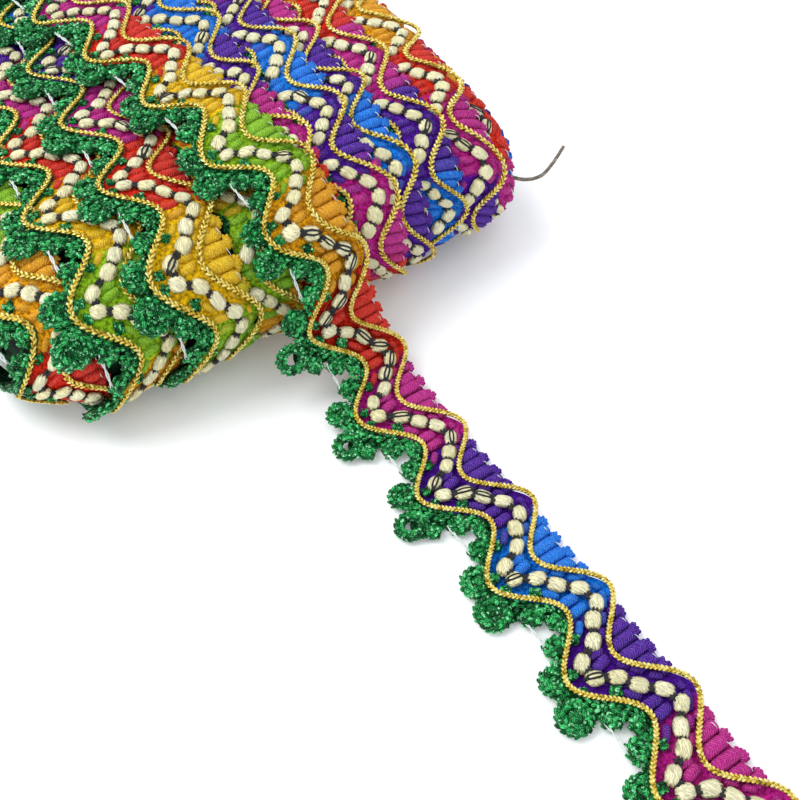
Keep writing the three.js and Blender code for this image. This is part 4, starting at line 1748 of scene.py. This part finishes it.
@dataclass
class Winding:
    """Every stretch of trim that shows: the last turn, the turns at its sides and the loose end."""

    form: RollForm
    route: Route
    line_x: float = -24.0
    threaded: tuple[float, float] = (-11.0, 62.0)

    def _rests(self, x: float, start: float) -> tuple[float, float]:
        """Where along a turn it goes under the roll's flat underside."""
        front, back = self.form.half_lengths(x)
        _, _, front_tip, back_tip = self.form.section(x)
        first = -back + (abs(back_tip) - END_ROUND) - FLAT_MARGIN - start
        last = front - (abs(front_tip) - END_ROUND) + FLAT_MARGIN - start
        return first, last

    def _wound(self, turn: Turn, seed: int) -> Stretch:
        """A whole turn."""
        front, back = self.form.half_lengths(turn.x)
        start, wander = -turn.apex, Wander(turn.marks)
        fronts = (turn.front_tilt, turn.front_level)
        course = TurnCourse(self.form, turn.x, start, turn.level, turn.tilt, seed, False, wander, *fronts)
        low, high = (wander.pattern(place) for place in self._rests(turn.x, start))
        first, last = wander.pattern(-back - start), wander.pattern(front - start)
        return Stretch(
            turn.name,
            course,
            max(first, turn.shows[0]),
            min(last, turn.shows[1]),
            turn.dye,
            seed,
            lowest=turn.lowest,
            rests=(low, high),
            far_before=FAR_RUN - start,
            corded=turn.corded,
        )

    def _drawn_out(self) -> LastCourse:
        """The course of the last turn and of the loose end that it runs into."""
        wander = Wander(LAST_MARKS)
        turn = TurnCourse(self.form, 0.0, LAST_TURN_START, LAST_TURN_LEVEL, 0.0, 3, True, wander)
        return LastCourse(turn, LooseCourse(self.route, wander))

    def last(self) -> Stretch:
        """The last turn, from under the back up to where it leaves the roll."""
        course = self._drawn_out()
        wander = course.turn.wander
        _, back = self.form.half_lengths(self.line_x)
        low, high = (wander.pattern(place) for place in self._rests(self.line_x, LAST_TURN_START))
        first, end = wander.pattern(-back - LAST_TURN_START), wander.pattern(LOOSE_START)
        return Stretch(
            "last",
            course,
            first,
            end,
            0.0,
            3,
            rests=(low, high),
            over_thread=(self.threaded[0], end),
            far_before=FAR_RUN - LAST_TURN_START,
        )

    def loose(self) -> Stretch:
        """The loose end, with its first loops open."""
        course = self._drawn_out()
        first, last = (course.turn.wander.pattern(place) for place in (LOOSE_START, LOOSE_END))
        return Stretch(
            "loose", course, first, last, 0.0, 3, Detail.FINE,
            open_loops=(0, 1, 2), over_thread=self.threaded,
        )

    def left(self) -> list[Stretch]:
        """The turns on the last turn's green side."""
        return [self._wound(turn, 11 + i) for i, turn in enumerate(LEFT_TURNS)]

    def right(self) -> list[Stretch]:
        """The turns on its coloured side."""
        return [self._wound(turn, 31 + i) for i, turn in enumerate(RIGHT_TURNS)]


@dataclass
class WoundBody:
    """The body of the winding under the turns that show, dark as painted shade."""

    sink: float = 2.4
    bottom_sink: float = 3.2
    steps_along: int = 84
    steps_round: int = 110
    reach: float = 61.5
    edge_sink: float = 3.0
    middle: float = 14.0

    def build(self, form: RollForm, material: bpy.types.Material, shift: np.ndarray) -> bpy.types.Object:
        """Builds the closed body.

        Args:
            form: the roll's mean surface.
            material: its finish.
            shift: the roll's own origin in the frame.

        Returns:
            The body's object.
        """
        bm = bmesh.new()
        bmesh.ops.create_grid(bm, x_segments=self.steps_along, y_segments=self.steps_round, size=0.5)
        flat = np.array([v.co[:] for v in bm.verts])
        u, v = flat[:, 0] + 0.5, flat[:, 1] + 0.5
        edge = smoothstep(np.abs(u - 0.5), 0.44, 0.5)
        x = (u - 0.5) * 2 * self.reach
        front = np.interp(x, form.xs, form.halves[:, 0])
        back = np.interp(x, form.xs, form.halves[:, 1])
        run = -back + (front + back) * v
        point, normal = form.read(x, run)
        free = smoothstep(point[:, 2], 1.0, 9.0)
        sink = self.sink * free + self.bottom_sink * (1 - free) + self.edge_sink * edge
        point = point - normal * sink[:, None]
        ends = (u < 1e-6) | (u > 1 - 1e-6)
        middle = upright(point[:, 0], 0.0, self.middle)
        point = np.where(ends[:, None], middle * 0.999 + point * 0.001, point)
        for vert, place in zip(bm.verts, (point + shift) * MM):
            vert.co = place
        bmesh.ops.remove_doubles(bm, verts=bm.verts, dist=3e-6)
        bmesh.ops.recalc_face_normals(bm, faces=bm.faces)
        return settled("wound_body", bm, material)


@dataclass
class SideLayers:
    """Edges of the inner turns at the roll's sides: green hoops on one, dyed petals on the other."""

    depths: tuple[float, ...] = (2.8, 5.9, 8.8)
    spacing: float = 3.3
    knob: tuple[float, float, float] = (1.85, 1.9, 1.3)

    def lay(self, piece: Joined, form: RollForm, side: float, seed: int) -> None:
        """Lays the rows of one side.

        Args:
            piece: the piece that they join.
            form: the roll's mean surface.
            side: -1 for the green side and 1 for the coloured one.
            seed: the source of the unevenness.
        """
        course = SideCourse(form, side)
        front, back = form.half_lengths(side * course.x)
        shape = bead(5, 4)
        for row, depth in enumerate(self.depths):
            stretch = Stretch(f"side_{row}", course, -1e9, 1e9, 61.0 * row, seed + row)
            s = np.arange(-back + depth, front - depth, self.spacing)
            random = stretch.random(row, 9)
            count = len(s)
            centre = np.column_stack([s, np.full(count, depth), np.zeros(count)])
            centre += random.normal(0, (0.3, 0.25, 0.2), (count, 3))
            halves = self.knob * random.uniform(0.85, 1.15, (count, 3))
            angle, tones = random.normal(0, 0.25, count), random.uniform(0, 1, count)
            piece.stamp(stretch, shape, centre, angle, halves, tones)


@dataclass
class GroundLace:
    """The lace ground under the dressing: closed bands on the roll, two thin sheets on the loose end."""

    height: float = 0.55
    steps_along: int = 220
    steps_across: int = 8
    band_height: float = 0.72
    band_half: float = 0.62
    band_step: float = 1.4
    band_sides: int = 10
    lag: float = 2.5

    @staticmethod
    def green_edge(s: np.ndarray) -> np.ndarray:
        """The scalloped green outline, a little inside the hoops."""
        phase = np.mod(s, REPEAT)
        low = LOWER_CORD.at(s) - 1.6
        for lobe in GREEN_LOBES:
            for turn in (-REPEAT, 0.0, REPEAT):
                share = np.clip(1 - ((phase - lobe.s - turn) / (lobe.wide - 0.9)) ** 2, 0, None)
                reach = (lobe.tall - 0.9) * np.sqrt(share)
                low = np.where(share > 0, np.minimum(low, lobe.t - reach), low)
        return low

    @staticmethod
    def colour_edge(s: np.ndarray) -> np.ndarray:
        """The outline of the fans, a little inside the petals."""
        return np.maximum(UPPER_CORD.at(s) + 0.35, 7.4)

    def _lay(
        self, piece: Joined, stretch: Stretch, shape: Shape, s: np.ndarray, t: np.ndarray, h: Numbers
    ) -> None:
        """Lays a shape by its flat places, its dye lagging and its form told from the lower cord."""
        form = upright(s, t - LOWER_CORD.at(s))
        trim = upright(s + stretch.dye - self.lag, t, 0.1)
        piece.add(stretch.course.place(upright(s, t, h)), shape, form, trim)

    def band(self, piece: Joined, stretch: Stretch) -> None:
        """Lays the closed band of ground under one turn of the roll, all the way round."""
        steps = max(2, round((stretch.last - stretch.first) / self.band_step))
        shape = tube(steps, self.band_sides)
        u, angle = shape.points[:, 0], shape.points[:, 1]
        s = stretch.first + (stretch.last - stretch.first) * u
        share = 0.5 + 0.5 * np.cos(angle)
        low = np.maximum(self.green_edge(s), stretch.lowest)
        t = low * (1 - share) + np.maximum(UPPER_CORD.at(s) + 0.4, 7.2) * share
        self._lay(piece, stretch, shape, s, t, self.band_height + self.band_half * np.sin(angle))

    def sheet(
        self,
        name: str,
        stretch: Stretch,
        low: Callable[[np.ndarray], np.ndarray],
        high: Callable[[np.ndarray], np.ndarray],
        material: bpy.types.Material,
        shift: np.ndarray,
    ) -> bpy.types.Object:
        """Builds one thin sheet of the loose end between two lines.

        Args:
            name: the sheet's name.
            stretch: the loose end.
            low: its edge on the green side.
            high: its edge on the coloured side.
            material: its finish.
            shift: the roll's own origin in the frame.

        Returns:
            The sheet's object.
        """
        piece = Joined()
        shape = band(self.steps_along, self.steps_across)
        u, v = shape.points[:, 0], shape.points[:, 1]
        s = stretch.first + (stretch.last - stretch.first) * u
        t = low(s) * (1 - v) + high(s) * v
        self._lay(piece, stretch, shape, s, t, self.height)
        return piece.build(name, material, shift)


@dataclass
class TieWire:
    """The free end of the coated wire that ties the turns together."""

    radius: float = TIE_RADIUS
    sides: int = 12
    steps: int = 60

    def build(self, material: bpy.types.Material, shift: np.ndarray) -> bpy.types.Object:
        """Builds the wire with its cut end slightly rounded."""
        route = Route(TIE_ROUTE.astype(float))
        bm = bmesh.new()
        bmesh.ops.create_cone(
            bm, cap_ends=True, segments=self.sides, radius1=self.radius, radius2=self.radius, depth=1.0
        )
        sides = [e for e in bm.edges if abs(e.verts[0].co.z - e.verts[1].co.z) > 0.5]
        bmesh.ops.subdivide_edges(bm, edges=sides, cuts=self.steps, use_grid_fill=True)
        rims = [e for e in bm.edges if abs(e.verts[0].co.z) > 0.499 and abs(e.verts[1].co.z) > 0.499]
        bmesh.ops.bevel(bm, geom=rims, offset=0.002, affect="EDGES", segments=2, profile=0.5, material=-1)
        at = np.array([v.co[:] for v in bm.verts])
        length = route.distance[-1]
        point, tangent = route.read(np.clip(at[:, 2] + 0.5, 0, 1) * length)
        side = unit(np.cross(tangent, UP))
        up = np.cross(side, tangent)
        laid = point + side * at[:, :1] + up * at[:, 1:2]
        for vert, place in zip(bm.verts, (laid + shift) * MM):
            vert.co = place
        bmesh.ops.recalc_face_normals(bm, faces=bm.faces)
        return settled("tie_wire", bm, material)


@dataclass
class Studio:
    """Camera, pale floor and soft light."""

    floor_size: float = 3.0
    sky: float = 1.06
    key_power: float = 6.5
    key_size: float = 0.7
    key_place: tuple[float, float, float] = (-0.45, 0.35, 0.85)
    floor_glow: float = 0.07

    def camera(self, shift: np.ndarray) -> None:
        """Places the camera at the photograph's viewing angle."""
        data = bpy.data.cameras.new("camera")
        data.lens = CAMERA_LENS
        data.sensor_fit = "HORIZONTAL"
        data.sensor_width = 36.0
        data.clip_start = 0.005
        camera = bpy.data.objects.new("camera", data)
        place = (np.array(CAMERA_PLACE) + shift) * MM
        camera.location = Vector(place)
        heading = math.radians(CAMERA_HEADING_DEG)
        camera.rotation_euler = (math.radians(90 - CAMERA_DOWN_DEG), 0.0, -heading)
        bpy.context.scene.collection.objects.link(camera)
        bpy.context.scene.camera = camera

    def floor(self) -> None:
        """Makes the pale surface that the roll lies on."""
        bm = bmesh.new()
        bmesh.ops.create_grid(bm, x_segments=1, y_segments=1, size=self.floor_size / 2)
        graph = Graph("pale_surface")
        grain = graph.noise(graph.place(), 60.0, 4.0)
        material = graph.finish(
            Base_Color=graph.mix(grain * 0.1, linear(250, 250, 250), linear(244, 244, 246)),
            Roughness=0.7,
            Emission_Color=(1.0, 1.0, 1.0, 1.0),
            Emission_Strength=self.floor_glow,
            Normal=graph.bump(grain, 0.0002),
        )
        settled("floor", bm, material)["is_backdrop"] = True

    def key(self) -> None:
        """Adds the soft key lamp, aimed at the origin."""
        data = bpy.data.lights.new("key", "AREA")
        data.shape = "DISK"
        data.size = self.key_size
        data.energy = self.key_power
        lamp = bpy.data.objects.new("key", data)
        lamp.location = self.key_place
        lamp.rotation_euler = (-Vector(self.key_place)).to_track_quat("-Z", "Y").to_euler()
        bpy.context.scene.collection.objects.link(lamp)

    def light(self) -> None:
        """Lights the stage softly from above and behind on the left."""
        world = bpy.data.worlds.new("soft_room")
        world.use_nodes = True
        background = world.node_tree.nodes["Background"]
        background.inputs["Color"].default_value = (0.93, 0.96, 1.0, 1.0)
        background.inputs["Strength"].default_value = self.sky
        bpy.context.scene.world = world
        bpy.context.scene.view_settings.view_transform = "Standard"
        self.key()


@dataclass
class RollOfTrim:
    shift: np.ndarray
    finishes: Finishes = field(default_factory=Finishes)
    crochet: GreenCrochet = field(default_factory=GreenCrochet)
    chenille: DyedChenille = field(default_factory=DyedChenille)
    cords: GoldCords = field(default_factory=GoldCords)
    sequins: SequinRow = field(default_factory=SequinRow)
    thread: BlackThread = field(default_factory=BlackThread)
    nylon: NylonThread = field(default_factory=NylonThread)
    green_shows_from: float = -5.0

    def _take(self, piece: bpy.types.Object, slot: Optional[str], *nodes: str) -> bpy.types.Object:
        """Binds a piece to the body, hides the nodes it stands for, and reports it."""
        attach(piece, "root")
        if nodes:
            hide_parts(*nodes)
        piece.data.calc_loop_triangles()
        LOG.info("%s: %d triangles", piece.name, len(piece.data.loop_triangles))
        return piece

    def _dress(self, parts: dict[str, Joined], stretch: Stretch) -> None:
        """Lays every kind of dressing of one stretch where it shows."""
        if stretch.lowest < self.green_shows_from:
            self.crochet.lay(parts["green"], stretch)
            self.cords.lay(parts["lower_cord"], stretch, LOWER_CORD)
        self.nylon.lay(parts["nylon"], stretch)
        self.chenille.lay(parts["chenille"], stretch)
        if stretch.corded:
            self.cords.lay(parts["upper_cord"], stretch, UPPER_CORD)
        self.sequins.lay(parts["sequins"], stretch)
        self.thread.lay(parts["black_thread"], self.sequins, stretch)

    def _kinds(self) -> dict[str, tuple[bpy.types.Material, Optional[str]]]:
        """The finish and slot of each kind of dressing."""
        finishes = self.finishes
        return {
            "green": (finishes.green, "green_metallic_yarn"),
            "chenille": (finishes.chenille, "dyed_chenille"), "lower_cord": (finishes.gold, "gold_cord"),
            "upper_cord": (finishes.gold, "gold_cord"), "sequins": (finishes.ribbon, "lame_ribbon"),
            "black_thread": (finishes.black, None), "nylon": (finishes.nylon, None),
        }

    def _group(self, label: str, stretches: list[Stretch]) -> None:
        """Builds the pieces of a group of turns."""
        parts: dict[str, Joined] = {name: Joined() for name in self._kinds()}
        under, ground = Joined(), GroundLace()
        for stretch in stretches:
            self._dress(parts, stretch)
            ground.band(under, stretch)
        self._take(under.build(f"ground_{label}", self.finishes.ground, self.shift), "wound_trim")
        for name, (material, slot) in self._kinds().items():
            if parts[name].count:
                self._take(parts[name].build(f"{name}_{label}", material, self.shift), slot)

    def _loose(self, loose: Stretch) -> None:
        """Builds the loose end and its two sheets of lace."""
        parts: dict[str, Joined] = {name: Joined() for name in self._kinds()}
        self._dress(parts, loose)
        nodes = {"lower_cord": "loose_lower_cord", "upper_cord": "loose_upper_cord"}
        nodes["sequins"] = "loose_sequin_row"
        for name, (material, slot) in self._kinds().items():
            piece = parts[name].build(f"{name}_loose", material, self.shift)
            self._take(piece, slot, *([nodes[name]] if name in nodes else []))
        ground, cloth = GroundLace(), self.finishes.ground
        edges = (ground.green_edge, lambda s: SEQUIN_ROW.at(s) - 0.03)
        green = ground.sheet("green_lace_loose", loose, *edges, cloth, self.shift)
        self._take(green, "green_metallic_yarn", "loose_green_lace")
        edges = (lambda s: SEQUIN_ROW.at(s) + 0.03, ground.colour_edge)
        colour = ground.sheet("colour_lace_loose", loose, *edges, cloth, self.shift)
        self._take(colour, "dyed_chenille", "loose_colour_lace")

    def build(self) -> None:
        """Builds every piece in order."""
        form, route = RollForm(), Route(LOOSE_PATH, LOOSE_START)
        winding = Winding(form, route)
        body = WoundBody().build(form, self.finishes.base, self.shift)
        self._take(body, "wound_trim", "wound_roll")
        self._group("last", [winding.last()])
        self._group("left", winding.left())
        self._group("right", winding.right())
        dress = (("side_green", -1.0, self.finishes.green), ("side_chenille", 1.0, self.finishes.chenille))
        for name, side, material in dress:
            layers = Joined()
            SideLayers().lay(layers, form, side, 70)
            self._take(layers.build(name, material, self.shift), "wound_trim")
        self._loose(winding.loose())
        self._take(TieWire().build(self.finishes.wire, self.shift), "tie_wire", "tie_wire_end")


def measured() -> list[list[float]]:
    """The present box of the whole object as plain lists."""
    return [[float(value) for value in corner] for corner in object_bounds()]


def main() -> list[list[float]]:
    """Builds the scene and returns the solids' own box."""
    logging.basicConfig(level=logging.INFO, format="%(message)s")
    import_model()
    solids = measured()
    _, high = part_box("wound_roll")
    shift = np.array([high.x / MM - ROLL_EDGE_X, ROLL_ORIGIN_Y, 0.0])
    LOG.info("the roll's origin lies at %s mm", np.round(shift, 3))
    studio = Studio()
    studio.camera(shift)
    studio.floor()
    studio.light()
    RollOfTrim(shift).build()
    return solids


if __name__ == "__main__":
    cad_box = main()
